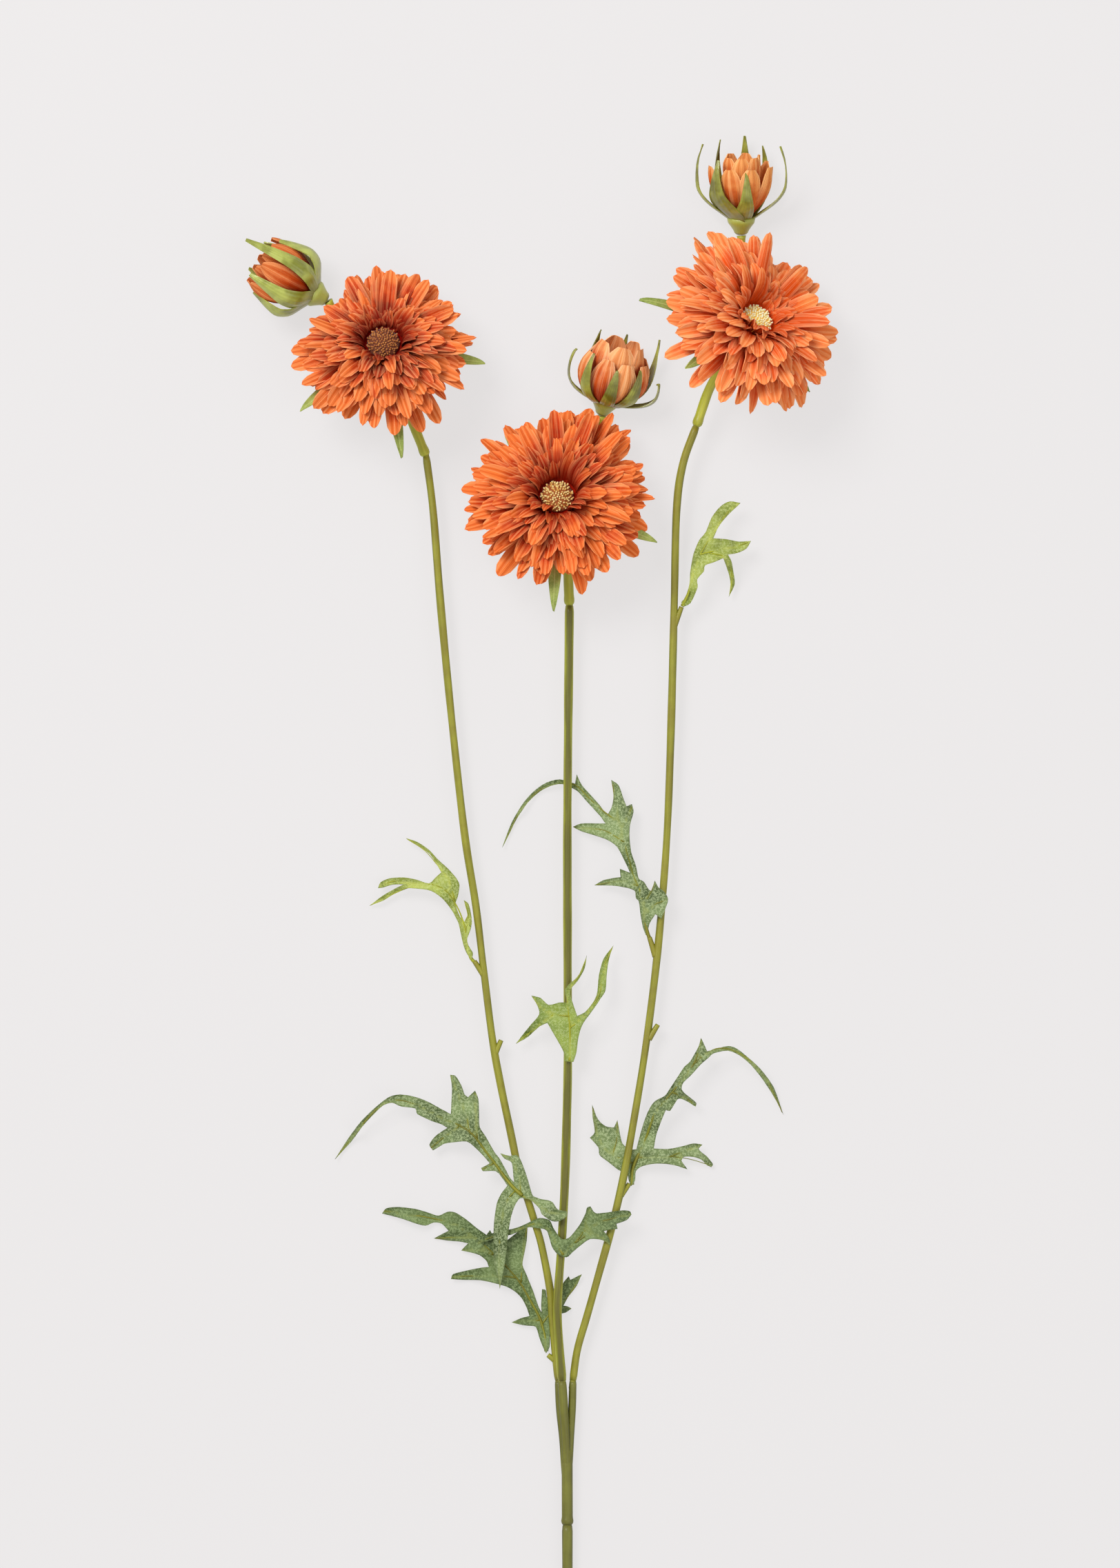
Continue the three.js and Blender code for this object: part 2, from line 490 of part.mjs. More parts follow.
function calyx(bloom, matrix) {
  const cup = turned([[0, -9], [2.6, -9], [4.6, -7.4], [8, -4], [9.2, -1.9], [0, -1.9]], 14);
  cup.applyMatrix4(matrix);
  const foot = new THREE.Vector3(0, 0, -6.5).applyMatrix4(matrix).toArray();
  return joined([cup, tube([foot, ...bloom.neck], NECK_RADIUS, 9)]);
}

function disc() {
  const top = PETAL_LAYERS.length * LAYER_PITCH - SHEET / 2;
  return turned([
    [0, -1.55], [PIN_RADIUS, -1.55], [PIN_RADIUS, top], [7, top], [6.9, top + 0.9], [5.9, top + 2.5],
    [3.6, top + 3.6], [0, top + 4],
  ], 12);
}

// ---- buds -----------------------------------------------------------------------------------------

const BUD_CUP = [[0, 0], [2.2, 0], [3.2, 1.6], [5.6, 5], [6, 7], [0, 7]];
const SLIM_SEPALS = [
  { radius: 4.6, height: 6.4, half: 2.2 },
  { radius: 14, height: 13.5, half: 2.3 },
  { radius: 19, height: 23, half: 1.9 },
  { radius: 18.6, height: 32, half: 1.1 },
  { radius: 15.8, height: 41, half: 0 },
];
const BROAD_SEPALS = [
  { radius: 4.6, height: 6.2, half: 3 },
  { radius: 13.5, height: 12, half: 5.2 },
  { radius: 16.6, height: 22, half: 4.8 },
  { radius: 15, height: 31, half: 2.6 },
  { radius: 13, height: 39, half: 0 },
];
const OUTER_PETALS = [
  { radius: 4, height: 7.8, half: 2 },
  { radius: 10, height: 14.5, half: 4.2 },
  { radius: 13, height: 23, half: 4.6 },
  { radius: 12.6, height: 30, half: 3.4 },
  { radius: 11.6, height: 34, half: 0 },
];
const INNER_PETALS = [
  { radius: 3.2, height: 9.2, half: 1.8 },
  { radius: 6.2, height: 17, half: 3.2 },
  { radius: 8, height: 26, half: 3.6 },
  { radius: 7, height: 32, half: 2.4 },
  { radius: 6, height: 35, half: 0 },
];

// base is where the bud's cup meets its stem, axis the way it points; the angles of its sepals and
// petals turn about that axis, with 0 to the left and 90 up.
const BUDS = {
  left: {
    base: [-104.6, 631.6, 9.9], axis: [-0.87, 0.48, 0.17],
    stem: [[-72.7, 589.2, 6.4], [-74.6, 590.4, 3.4], [-84, 602, 2.6], [-96, 619, 5], [-103.8, 631.1, 9.7]],
    sepalShape: BROAD_SEPALS,
    sepals: [[45, 1, 0], [135, 1, 0], [225, 0.78, 0], [315, 0.78, 0]],
    petals: [0, 90, 180, 270],
  },
  middle: {
    base: [15.2, 582.2, 6.3], axis: [0.27, 0.94, 0.3],
    stem: [[0.2, 524.8, 7], [2.4, 526, 3.4], [8, 545, 2], [13, 567, 2.4], [15, 581.3, 6]],
    sepalShape: SLIM_SEPALS,
    sepals: [[18, 1.05, -4], [90, 0.8, 0], [162, 1.05, -4], [234, 0.7, 0], [306, 0.7, 0]],
    petals: [54, 126, 198, 270, 342],
  },
  right: {
    base: [75.8, 660.6, 7.4], axis: [0, 0.97, 0.24],
    stem: [[67.3, 599.7, 13.1], [73, 603, 6.6], [76.4, 620, 5], [76.6, 645, 5.4], [75.9, 659.7, 7.2]],
    sepalShape: SLIM_SEPALS,
    sepals: [[10, 1.05, 0], [98, 0.8, 0], [170, 1.05, 0], [234, 0.7, 0], [306, 0.7, 0]],
    petals: [58, 130, 198, 270, 342],
  },
};

function budMatrix({ base, axis }) {
  const forward = vector(axis).normalize();
  const across = new THREE.Vector3().crossVectors(new THREE.Vector3(0, 0, 1), forward).normalize();
  const over = new THREE.Vector3().crossVectors(forward, across);
  return new THREE.Matrix4().makeBasis(across, over, forward).setPosition(vector(base));
}

function budCalyx(bud) {
  return joined([turned(BUD_CUP, 12), whorl(lobesAt(bud.sepals), bud.sepalShape, 0)]);
}

// ---- the spray ------------------------------------------------------------------------------------

const spray = new THREE.Group();

function place(name, geometry, material, matrix = null) {
  if (matrix) geometry.applyMatrix4(matrix);
  const mesh = new THREE.Mesh(geometry, material);
  mesh.name = name;
  spray.add(mesh);
}

place('stem_lower', tube([[0.4, 0, 2.4], [0.3, 50, 3.2], [0.2, 98.2, 4]], STEM_RADIUS, 6, 12), STEM_GREEN);
place('fork_sleeve', fork(), STEM_GREEN);
place('branch_left', branch(LEFT_ROUTE, SIDE_RADIUS, PEGS.left), STEM_GREEN);
place('branch_middle', branch(MIDDLE_ROUTE, MIDDLE_RADIUS, PEGS.middle), MIDDLE_GREEN);
place('branch_right', branch(RIGHT_ROUTE, SIDE_RADIUS, PEGS.right), STEM_GREEN);

for (const [side, bloom] of Object.entries(BLOOMS)) {
  const matrix = bloomMatrix(bloom);
  const dents = bloom.dents.map(([angle, depth, spread]) => (
    { angle: degrees(angle), depth, spread: degrees(spread) }
  ));
  place(`bloom_${side}_calyx`, calyx(bloom, matrix), NECK_GREEN);
  const sepals = whorl(lobesAt(bloom.sepals), SEPAL_STATIONS, PIN_HOLE);
  place(`bloom_${side}_sepals`, sepals, SEPAL_GREEN, matrix);
  PETAL_LAYERS.forEach((layer, order) => {
    const sheet = petalLayer(layer, order, bloom.reach, dents);
    place(`bloom_${side}_petals_${order + 1}`, sheet, PETAL_ORANGE, matrix);
  });
  place(`bloom_${side}_disc`, disc(), DISC_YELLOW, matrix);
}

for (const [side, bud] of Object.entries(BUDS)) {
  const matrix = budMatrix(bud);
  place(`bud_${side}_stem`, tube(bud.stem, BUD_STEM_RADIUS, 8), NECK_GREEN);
  place(`bud_${side}_calyx`, budCalyx(bud), SEPAL_GREEN, matrix);
  const lobes = (turn) => lobesAt(bud.petals.map((angle) => [angle + turn, angle === 270 ? 0.75 : 1, 0]));
  place(`bud_${side}_outer_petals`, whorl(lobes(0), OUTER_PETALS, 0), BUD_PEACH, matrix);
  place(`bud_${side}_inner_petals`, whorl(lobes(36), INNER_PETALS, 0), BUD_PEACH, matrix);
}

for (const [name, leaf] of Object.entries(LEAVES)) {
  place(name, leafSheet(leaf), leaf.material);
}

// The origin goes to the middle of the spray's box, at the surface that it lies on.
const box = new THREE.Box3().setFromObject(spray);
spray.position.set(-(box.min.x + box.max.x) / 2, -(box.min.y + box.max.y) / 2, -box.min.z);
const group = new THREE.Group();
group.add(spray);

export default group;
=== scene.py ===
import math
import random

import bmesh
import bpy
from mathutils import Matrix, Vector


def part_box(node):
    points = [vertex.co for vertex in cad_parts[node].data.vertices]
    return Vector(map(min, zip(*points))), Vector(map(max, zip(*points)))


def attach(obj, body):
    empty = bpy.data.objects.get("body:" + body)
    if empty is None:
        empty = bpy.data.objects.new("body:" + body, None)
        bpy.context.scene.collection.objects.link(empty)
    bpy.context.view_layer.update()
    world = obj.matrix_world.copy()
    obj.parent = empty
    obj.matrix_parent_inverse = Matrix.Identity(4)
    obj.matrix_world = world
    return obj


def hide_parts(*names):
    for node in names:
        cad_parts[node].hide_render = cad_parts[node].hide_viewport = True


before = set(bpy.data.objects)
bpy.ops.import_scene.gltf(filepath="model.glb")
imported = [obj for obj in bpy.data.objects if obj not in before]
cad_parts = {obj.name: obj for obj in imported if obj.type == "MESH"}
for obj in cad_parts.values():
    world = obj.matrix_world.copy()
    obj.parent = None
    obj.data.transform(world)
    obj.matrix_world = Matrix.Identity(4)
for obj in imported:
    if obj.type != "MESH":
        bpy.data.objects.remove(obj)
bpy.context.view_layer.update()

# ---- Lower stem ----
# The foot of the spray is one round rod of soft olive plastic moulded over a wire and cut square.
# Its skin is slightly mottled along its length, and it plugs into the fork above.

# Routes and shapes are in millimetres from the cut end, as in the part: X across, Y towards the
# buds, Z up. TO_FRAME takes them to metres in the frame.
LEAF_TIP_X = -101
TO_FRAME = (
    Matrix.Translation((
        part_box("leaf_lower_left")[0].x - LEAF_TIP_X / 1000,
        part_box("stem_lower")[0].y,
        0.0,
    ))
    @ Matrix.Scale(0.001, 4)
)
UP = Vector((0, 0, 1))
STEM_RADIUS = 2.3


class Wire:
    """A shader socket. Arithmetic on it adds Math nodes, and node() adds any other node."""

    def __init__(self, tree, socket=None):
        self.tree, self.socket = tree, socket

    def node(self, kind, settings=None, inputs=None, output=0):
        made = self.tree.nodes.new(f"ShaderNode{kind}")
        for name, value in (settings or {}).items():
            setattr(made, name, value)
        for key, value in (inputs or {}).items():
            if isinstance(value, Wire):
                self.tree.links.new(value.socket, made.inputs[key])
            else:
                made.inputs[key].default_value = value
        return Wire(self.tree, made.outputs[output])

    def math(self, operation, *values):
        return self.node("Math", {"operation": operation}, dict(enumerate(values)))

    def sine(self):
        return self.math("SINE", self)

    def cosine(self):
        return self.math("COSINE", self)

    def absolute(self):
        return self.math("ABSOLUTE", self)

    def __add__(self, other):
        return self.math("ADD", self, other)

    __radd__ = __add__

    def __sub__(self, other):
        return self.math("SUBTRACT", self, other)

    def __rsub__(self, other):
        return self.math("SUBTRACT", other, self)

    def __mul__(self, other):
        return self.math("MULTIPLY", self, other)

    def ramp(self, low, high):
        """0 below low, 1 above high and smooth between them."""
        return self.node(
            "MapRange", {"interpolation_type": "SMOOTHSTEP"}, {0: self, 1: low, 2: high}
        )

    def tint(self, under, over):
        """The colour under where this is 0, and over where it is 1."""
        inputs = {0: self, 6: linear(under), 7: linear(over)}
        return self.node("Mix", {"data_type": "RGBA"}, inputs, output=2)

    def attribute(self, name, output="Vector"):
        return self.node("Attribute", {"attribute_name": name}, output=output)

    def axes(self):
        """The three numbers of a vector."""
        split = self.node("SeparateXYZ", inputs={0: self})
        return [Wire(self.tree, socket) for socket in split.socket.node.outputs]

    def stretched(self, x, y, z):
        return self.node("VectorMath", {"operation": "MULTIPLY"}, {0: self, 1: (x, y, z)})

    def noise(self, scale, detail=3.0, roughness=0.55):
        """Cloudy variation from 0 to 1 over this vector."""
        inputs = {"Vector": self, "Scale": scale, "Detail": detail, "Roughness": roughness}
        return self.node("TexNoise", inputs=inputs)

    def weave(self, threads):
        """Crossed threads over this vector, from -1 to 1."""
        x, y, _ = self.stretched(threads, threads, threads).axes()
        return x.sine() * y.sine()

    def bump(self, strength, distance):
        inputs = {"Height": self, "Strength": strength, "Distance": distance}
        return self.node("Bump", inputs=inputs)


def linear(colour):
    """The linear colour of a screen colour in hex. A socket is left as it is."""
    if isinstance(colour, Wire):
        return colour
    straight = []
    for at in (0, 2, 4):
        share = int(colour[at:at + 2], 16) / 255
        straight.append(share / 12.92 if share <= 0.04045 else ((share + 0.055) / 1.055) ** 2.4)
    return (*straight, 1.0)


def new_finish(name):
    """An empty finish, the place on a piece that is being shaded, and the grain there."""
    finish = bpy.data.materials.new(name)
    finish.use_nodes = True
    finish.node_tree.nodes.clear()
    wire = Wire(finish.node_tree)
    return finish, wire.node("TexCoord", output="Object"), wire.attribute("grain")


def coat_with(finish, inputs):
    """Ends a finish with a shader that has these inputs."""
    shader = Wire(finish.node_tree).node("BsdfPrincipled", inputs=inputs)
    end = finish.node_tree.nodes.new("ShaderNodeOutputMaterial")
    finish.node_tree.links.new(shader.socket, end.inputs["Surface"])
    return finish


def moulded_plastic(name, under, over, top, painted_top_light_share, patches, gloss, painted_top_light_from=0.45):
    """Dyed soft plastic: streaks along the rod, painted light and shade on its top, and rubbed patches.
    """
    finish, place, grain = new_finish(name)
    streak = grain.stretched(0.9, 0.9, 0.05).noise(0.8, 4).ramp(0.34, 0.68)
    cloud = place.noise(70, 3).ramp(0.38, 0.66)
    _, height, _ = grain.axes()
    # Painted light and shade: the top of each rod takes the top colour, lighter or darker than its sides,
    # for how the light falls on it.
    painted_light_mask = (height + streak * 0.6 - 0.3).ramp(painted_top_light_from, painted_top_light_from + 0.9) * painted_top_light_share
    colour = painted_light_mask.tint(streak.tint(under, over), top)
    colour = (cloud * 0.35).tint(colour, patches)
    speck = place.noise(900, 2)
    return coat_with(finish, {
        "Base Color": colour, "Roughness": gloss + streak * 0.14 + speck * 0.12,
        "Normal": (streak * 0.6 + speck * 0.4).bump(0.25, 0.0002),
        "Specular IOR Level": 0.45, "Coat Weight": 0.06,
    })


def start_piece():
    """A bmesh in millimetres. grain carries each corner's place along and around its own part."""
    work = bmesh.new()
    work.verts.layers.float_vector.new("grain")
    return work


def link_mesh(work, name, finish):
    """Puts a finished bmesh in the scene."""
    mesh = bpy.data.meshes.new(name)
    work.to_mesh(mesh)
    work.free()
    mesh.materials.append(finish)
    made = bpy.data.objects.new(name, mesh)
    bpy.context.scene.collection.objects.link(made)
    return made


def finish_piece(work, name, finish, slot, nodes, thickness=0.0):
    """Turns a bmesh into a piece that rides on the frame and stands for its nodes."""
    bmesh.ops.recalc_face_normals(work, faces=work.faces)
    for edge in work.edges:
        edge.smooth = not edge.is_boundary
    bmesh.ops.transform(work, matrix=TO_FRAME, verts=work.verts)
    piece = link_mesh(work, name, finish)
    piece.data.polygons.foreach_set("use_smooth", [True] * len(piece.data.polygons))
    if thickness:
        sheet = piece.modifiers.new("thickness", "SOLIDIFY")
        sheet.thickness = thickness / 1000
        sheet.offset = 0
    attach(piece, "root")
    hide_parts(*nodes)


def join_part(work, part):
    """Adds a finished part to a piece."""
    mesh = bpy.data.meshes.new("part")
    part.to_mesh(mesh)
    part.free()
    work.from_mesh(mesh)
    bpy.data.meshes.remove(mesh)


def spline(a, b, c, d, t):
    """The place a share t of the way from b to c, on a smooth curve through all four."""
    bend = (2 * a - 5 * b + 4 * c - d) * t * t + (3 * b - a - 3 * c + d) * t ** 3
    return 0.5 * (2 * b + (c - a) * t + bend)


SPAN_STEPS = 12


def smooth_route(points, spacing):
    """Evenly spaced places on a smooth curve through the points, and its length."""
    knots = [Vector(point) for point in points]
    knots = [2 * knots[0] - knots[1], *knots, 2 * knots[-1] - knots[-2]]
    dense = []
    for four in zip(knots, knots[1:], knots[2:], knots[3:]):
        dense.extend(spline(*four, step / SPAN_STEPS) for step in range(SPAN_STEPS))
    dense.append(knots[-2])
    run = [0.0]
    for before, after in zip(dense, dense[1:]):
        run.append(run[-1] + (after - before).length)
    count = max(2, round(run[-1] / spacing))
    path, at = [], 0
    for step in range(count + 1):
        target = run[-1] * step / count
        while at < len(dense) - 2 and run[at + 1] < target:
            at += 1
        share = (target - run[at]) / (run[at + 1] - run[at])
        path.append(dense[at].lerp(dense[at + 1], share))
    return path, run[-1]


def add_rod(work, route, radius, spacing=2.5, sides=16, seed=0.0):
    """A rod along a route. radius(distance, length, angle) is its radius at each place."""
    path, length = smooth_route(route, spacing)
    last = len(path) - 1
    rod = start_piece()
    bmesh.ops.create_cone(rod, cap_ends=True, segments=sides, radius1=1, radius2=1, depth=1)
    uprights = [
        edge for edge in rod.edges if abs(edge.verts[0].co.z - edge.verts[1].co.z) > 0.5
    ]
    if last > 1:
        bmesh.ops.subdivide_edges(rod, edges=uprights, cuts=last - 1)
    grain = rod.verts.layers.float_vector["grain"]
    for corner in rod.verts:
        ring = round((corner.co.z + 0.5) * last)
        ahead = path[min(ring + 1, last)] - path[max(ring - 1, 0)]
        side = ahead.cross(UP).normalized()
        over = side.cross(ahead).normalized()
        angle = math.atan2(corner.co.y, corner.co.x)
        distance = length * ring / last
        reach = radius(distance, length, angle)
        across, above = reach * math.cos(angle), reach * math.sin(angle)
        corner[grain] = (across, above, distance + seed)
        corner.co = path[ring] + across * side + above * over
    join_part(work, rod)


def stem_radius(distance, length, angle):
    """A straight rod that wavers slightly, and is rounded where it meets the fork."""
    end = 0.9 if distance > length - 0.5 else 1
    return STEM_RADIUS * (1 + 0.02 * math.sin(distance / 7)) * end


def plain(size):
    """The same radius all along a rod."""
    return lambda distance, length, angle: size


# Its top colour is painted light, a little lighter than its sides.
OLIVE = moulded_plastic(
    "olive_moulded_plastic", "4e5214", "707424", "7c7a2c",
    painted_top_light_share=0.55, patches="4a4214", gloss=0.38,
)

work = start_piece()
add_rod(work, [[0.4, 0, 2.4], [0.3, 50, 3.2], [0.2, 98.2, 4]], stem_radius, sides=24)
# The tenon that plugs into the fork.
add_rod(work, [[0.2, 96, 3.9], [0.2, 102, 4]], plain(0.85 * STEM_RADIUS), spacing=2)
finish_piece(work, "lower_stem_rod", OLIVE, "stem", ["stem_lower"])

# ---- Fork ----
# A moulded sleeve grips the lower stem with a groove at its mouth. The feet of the three branches
# are run into it, and show as ribs that part above it.

SLEEVE_RADIUS = STEM_RADIUS + 0.1
MIDDLE_RADIUS = 1.9
SIDE_RADIUS = 1.65


def sleeve_radius(distance, length, angle):
    """A rolled lip at the mouth, a ring mark further up, and a tapered top."""
    lip = 0.28 * math.exp(-((distance - 1.6) / 1.1) ** 2) - 0.35 * math.exp(-(distance / 0.5) ** 2)
    ring = -0.22 * math.exp(-((distance - 27.4) / 0.7) ** 2)
    ribs = 0.1 * math.cos(3 * angle) * distance / length
    return SLEEVE_RADIUS + lip + ring + ribs - 0.5 * max(0, distance / length - 0.8)


def foot_radius(size):
    """The foot of a branch: slightly uneven, with a rounded end."""
    def radius(distance, length, angle):
        end = 0.92 if length - distance < 0.4 else 1
        return size * (1 + 0.03 * math.sin(distance / 4)) * end
    return radius


work = start_piece()
add_rod(work, [[0.2, 98.6, 4], [0.1, 114, 4.1], [0, 131, 4.3]], sleeve_radius, 0.8, 24)
FEET = [
    ([[-0.6, 120, 4], [-1.6, 134, 3.9], [-3, 148, 3.4], [-3.7, 161, 3.2]], SIDE_RADIUS),
    ([[0, 120, 4.2], [-0.4, 134, 5.2], [-1.3, 148, 6.6], [-2.1, 161, 7.2]], MIDDLE_RADIUS),
    ([[0.5, 120, 4], [1.4, 134, 4.1], [2.2, 148, 4.2], [2.6, 161, 4.4]], SIDE_RADIUS),
]
for number, (route, size) in enumerate(FEET):
    add_rod(work, route, foot_radius(size), spacing=1.5, seed=40 * number)
finish_piece(work, "fork_sleeve_with_feet", OLIVE, "stem", ["fork_sleeve"])

# ---- Branches ----
# Three long rods of the same plastic, bent by hand. The outer two are olive and thin, and the
# middle one is stouter, with painted shade along its top. Stubs on them hold the feet of the
# leaves. Two are bare.

PEG_RADIUS = 1.2
TENON_LENGTH = 5
LEFT_ROUTE = [
    [-3.7, 161.4, 3.2], [-4.8, 172, 3.1], [-6.3, 188, 3.1], [-7.2, 200, 3.2], [-11, 220, 4.0],
    [-13.9, 230, 4.6], [-17, 240, 5.2], [-20.4, 250, 5.6], [-24.6, 270, 6.1], [-28.8, 290, 6.2],
    [-32.4, 310, 6.2], [-36.2, 340, 6.2], [-39.6, 368, 6.2], [-44.6, 400, 6.4], [-50.2, 450, 7],
    [-55, 500, 7.6], [-58.2, 540, 8], [-61.2, 563.5, 8.2],
]
MIDDLE_ROUTE = [
    [-2.1, 161.4, 7.2], [-3, 172, 7.1], [-4.1, 188, 7], [-3.8, 200, 6.8], [-2.4, 220, 6.2],
    [-1.5, 235, 6], [-0.8, 250, 6], [-0.2, 270, 6], [0.4, 300, 6.2], [0.3, 350, 6.2],
    [0.2, 400, 6.2], [0.5, 440, 6.6], [0.9, 480, 7.2], [1.1, 498.6, 7.6],
]
RIGHT_ROUTE = [
    [2.6, 161.4, 4.4], [4.6, 175, 4.8], [8.9, 190, 5.4], [14.5, 210, 6], [20, 230, 6.3],
    [24.6, 250, 6.6], [28.3, 270, 6.6], [33.3, 300, 6.4], [37.4, 330, 6.4], [40.6, 360, 6.4],
    [43.6, 400, 6.6], [45.3, 445, 7], [46.7, 500, 8], [47.7, 540, 9], [50.4, 560, 9.8],
    [56.1, 576.4, 10.6],
]
LEFT_PEGS = [
    [[-5, 170, 3.1], [-8.3, 172.4, 2.9]],
    [[-31.6, 303, 6.2], [-28.6, 309.6, 6.6]],
    [[-36.2, 338, 6.2], [-40.3, 344, 6.2]],
]
RIGHT_PEGS = [
    [[23.4, 242, 6.2], [27.1, 247, 4.8]],
    [[35.6, 310, 6.4], [39.6, 316.4, 6.4]],
    [[38.6, 346, 6.4], [35.9, 354.4, 6.4]],
    [[46.4, 489, 7.8], [49.9, 498.2, 7.8]],
]
# Its top colour is painted light along the top of the rod.
GREEN_OLIVE = moulded_plastic(
    "green_olive_moulded_plastic", "6e7214", "969828", "96902a",
    painted_top_light_share=0.6, patches="6a541a", gloss=0.36,
)
# Painted shade along its top: the third colour is dark, and the sides stay lighter for the light they
# catch.
OLIVE_WITH_SHADED_TOP = moulded_plastic(
    "olive_plastic_with_painted_shade_top", "929624", "b2b43e", "504c10",
    painted_top_light_share=0.9, patches="6e6822", gloss=0.34, painted_top_light_from=0.88,
)


def branch_radius(size, phase):
    """A hand-pulled rod: its radius wanders a little, and its ends are rounded."""
    def radius(distance, length, angle):
        wander = 0.035 * math.sin(distance / 17 + phase) + 0.02 * math.sin(distance / 5.3 + phase)
        flat = 0.02 * math.cos(2 * angle + distance / 60)
        end = min(distance, length - distance)
        return size * (1 + wander + flat) * (0.86 if end < 0.3 else 1)
    return radius


def peg_radius(distance, length, angle):
    return PEG_RADIUS * (1.25 - 0.35 * distance / length)


for side, route, size, pegs, finish, slot, phase in [
    ("left", LEFT_ROUTE, SIDE_RADIUS, LEFT_PEGS, GREEN_OLIVE, "stem", 0.4),
    ("middle", MIDDLE_ROUTE, MIDDLE_RADIUS, [], OLIVE_WITH_SHADED_TOP, "stem_dark", 1.7),
    ("right", RIGHT_ROUTE, SIDE_RADIUS, RIGHT_PEGS, GREEN_OLIVE, "stem", 3.1),
]:
    work = start_piece()
    add_rod(work, route, branch_radius(size, phase), seed=100 * phase)
    for peg in pegs:
        add_rod(work, peg, peg_radius, spacing=1, sides=10, seed=7)
    # Tenons that run into the fork's foot and the bloom's neck.
    for end, inner in [(route[0], route[1]), (route[-1], route[-2])]:
        start = Vector(end).lerp(Vector(inner), 0.1)
        out = start + (Vector(end) - start).normalized() * TENON_LENGTH
        add_rod(work, [start, out], plain(0.82 * size), spacing=2, sides=12, seed=9)
    finish_piece(work, f"{side}_branch_rod", finish, slot, [f"branch_{side}"])

# ---- Bloom calyxes and necks ----
# Under each bloom a turned cup of yellow-green plastic runs down into a bent neck, which is pushed
# over the end of its branch. A bead and a groove show where they meet.

NECK_RADIUS = 2.1
# Of each bloom: its centre, how far and which way its face leans in degrees, the reach of its
# longest petals, its neck's route, and its sepals as angle, reach and lift. In lean and funnel,
# petals near a heading, within a spread, are longer (or shorter, below 0) by a share of themselves.
# The funnel is the inner layers alone.
BLOOMS = {
    "left": {
        "centre": (-79.5, 609.2, 24), "tilt": 25, "heading": 90, "reach": 40.85,
        "neck": [[-77, 601.5, 11.2], [-71, 588, 9], [-61.4, 564, 8.2]],
        "sepals": [
            [-80, 1, -11], [-4, 0.95, -4], [68, 0.8, 0], [140, 0.35, 0], [-145, 0.95, -6],
        ],
        "lean": [[138, 22, -0.2]], "funnel": [88, 55, -0.3],
    },
    "middle": {
        "centre": (-4.2, 543, 22), "tilt": 22, "heading": 90, "reach": 43,
        "neck": [[-3, 533, 10.6], [0, 518, 8.6], [1.1, 499, 7.6]],
        "sepals": [[-92, 1, -9], [-20, 1, -4], [52, 0.6, 0], [124, 0.85, 0], [-164, 0.8, 0]],
        "lean": [[60, 26, 0.19], [268, 9, -0.12]], "funnel": [115, 50, -0.15],
    },
    "right": {
        "centre": (79.0, 618.8, 30.5), "tilt": 38, "heading": 45, "reach": 43,
        "neck": [[68.6, 603.6, 18], [62, 593, 13], [56.3, 576.8, 10.7]],
        "sepals": [[168, 1.1, -4], [100, 0.45, 0], [28, 0.8, 0], [-44, 0.8, 0], [-145, 0.8, -2]],
        "lean": [[103, 20, 0.2], [0, 20, -0.04]], "funnel": [30, 60, -0.35],
    },
}
CUP_PROFILE = [
    [0, -9], [2.6, -9], [3.4, -8.4], [4.6, -7.4], [6.4, -5.6], [8, -4], [8.9, -2.8], [9.2, -1.9],
    [8.2, -1.7], [0, -1.7],
]
NECK_TOP = -6.5


def polar(radius, angle, height=0.0):
    return Vector((radius * math.cos(angle), radius * math.sin(angle), height))


def bloom_matrix(bloom):
    """Takes a bloom's own places, with its face towards +Z, to the spray."""
    lean = math.radians(bloom["tilt"])
    facing = polar(math.sin(lean), math.radians(bloom["heading"]), math.cos(lean))
    turn = UP.rotation_difference(facing)
    return Matrix.Translation(bloom["centre"]) @ turn.to_matrix().to_4x4()


def add_turned(work, profile, matrix, steps=32):
    """A turned solid: the profile (radius, height) spun about its axis."""
    solid = start_piece()
    corners = [solid.verts.new((radius, 0, height)) for radius, height in profile]
    edges = [solid.edges.new(pair) for pair in zip(corners, corners[1:])]
    bmesh.ops.spin(
        solid, geom=corners + edges, cent=(0, 0, 0), axis=(0, 0, 1), dvec=(0, 0, 0),
        angle=2 * math.pi, steps=steps, use_merge=True, use_duplicate=False,
    )
    bmesh.ops.remove_doubles(solid, verts=solid.verts, dist=1e-4)
    grain = solid.verts.layers.float_vector["grain"]
    for corner in solid.verts:
        corner[grain] = (corner.co.x, corner.co.y, 4 * corner.co.z)
    bmesh.ops.transform(solid, matrix=matrix, verts=solid.verts)
    join_part(work, solid)


def neck_radius(distance, length, angle):
    """Wider where it leaves the cup, with a bead and a groove at the branch."""
    left = length - distance
    flare = 1.1 * math.exp(-distance / 4)
    bead = 0.24 * math.exp(-((left - 2.2) / 1.5) ** 2) - 0.5 * math.exp(-(left / 0.45) ** 2)
    return NECK_RADIUS + flare + bead + 0.06 * math.sin(distance / 2.6 + 2 * angle)


# Its top colour is painted light along the top of the rod.
NECK_GREEN = moulded_plastic(
    "yellow_green_moulded_plastic", "929814", "c0c436", "b2b242",
    painted_top_light_share=0.5, patches="7e7a1e", gloss=0.3,
)
for side, bloom in BLOOMS.items():
    matrix = bloom_matrix(bloom)
    work = start_piece()
    add_turned(work, CUP_PROFILE, matrix)
    foot = matrix @ Vector((0, 0, NECK_TOP))
    add_rod(work, [foot, *bloom["neck"]], neck_radius, spacing=0.9, sides=20, seed=31)
    finish_piece(work, f"{side}_bloom_calyx_cup", NECK_GREEN, "neck", [f"bloom_{side}_calyx"])

# ---- Bloom sepals ----
# Five narrow sepals in one die-cut star of starched green cloth, threaded under the petals. Their
# tips hang out past the rim of the bloom.

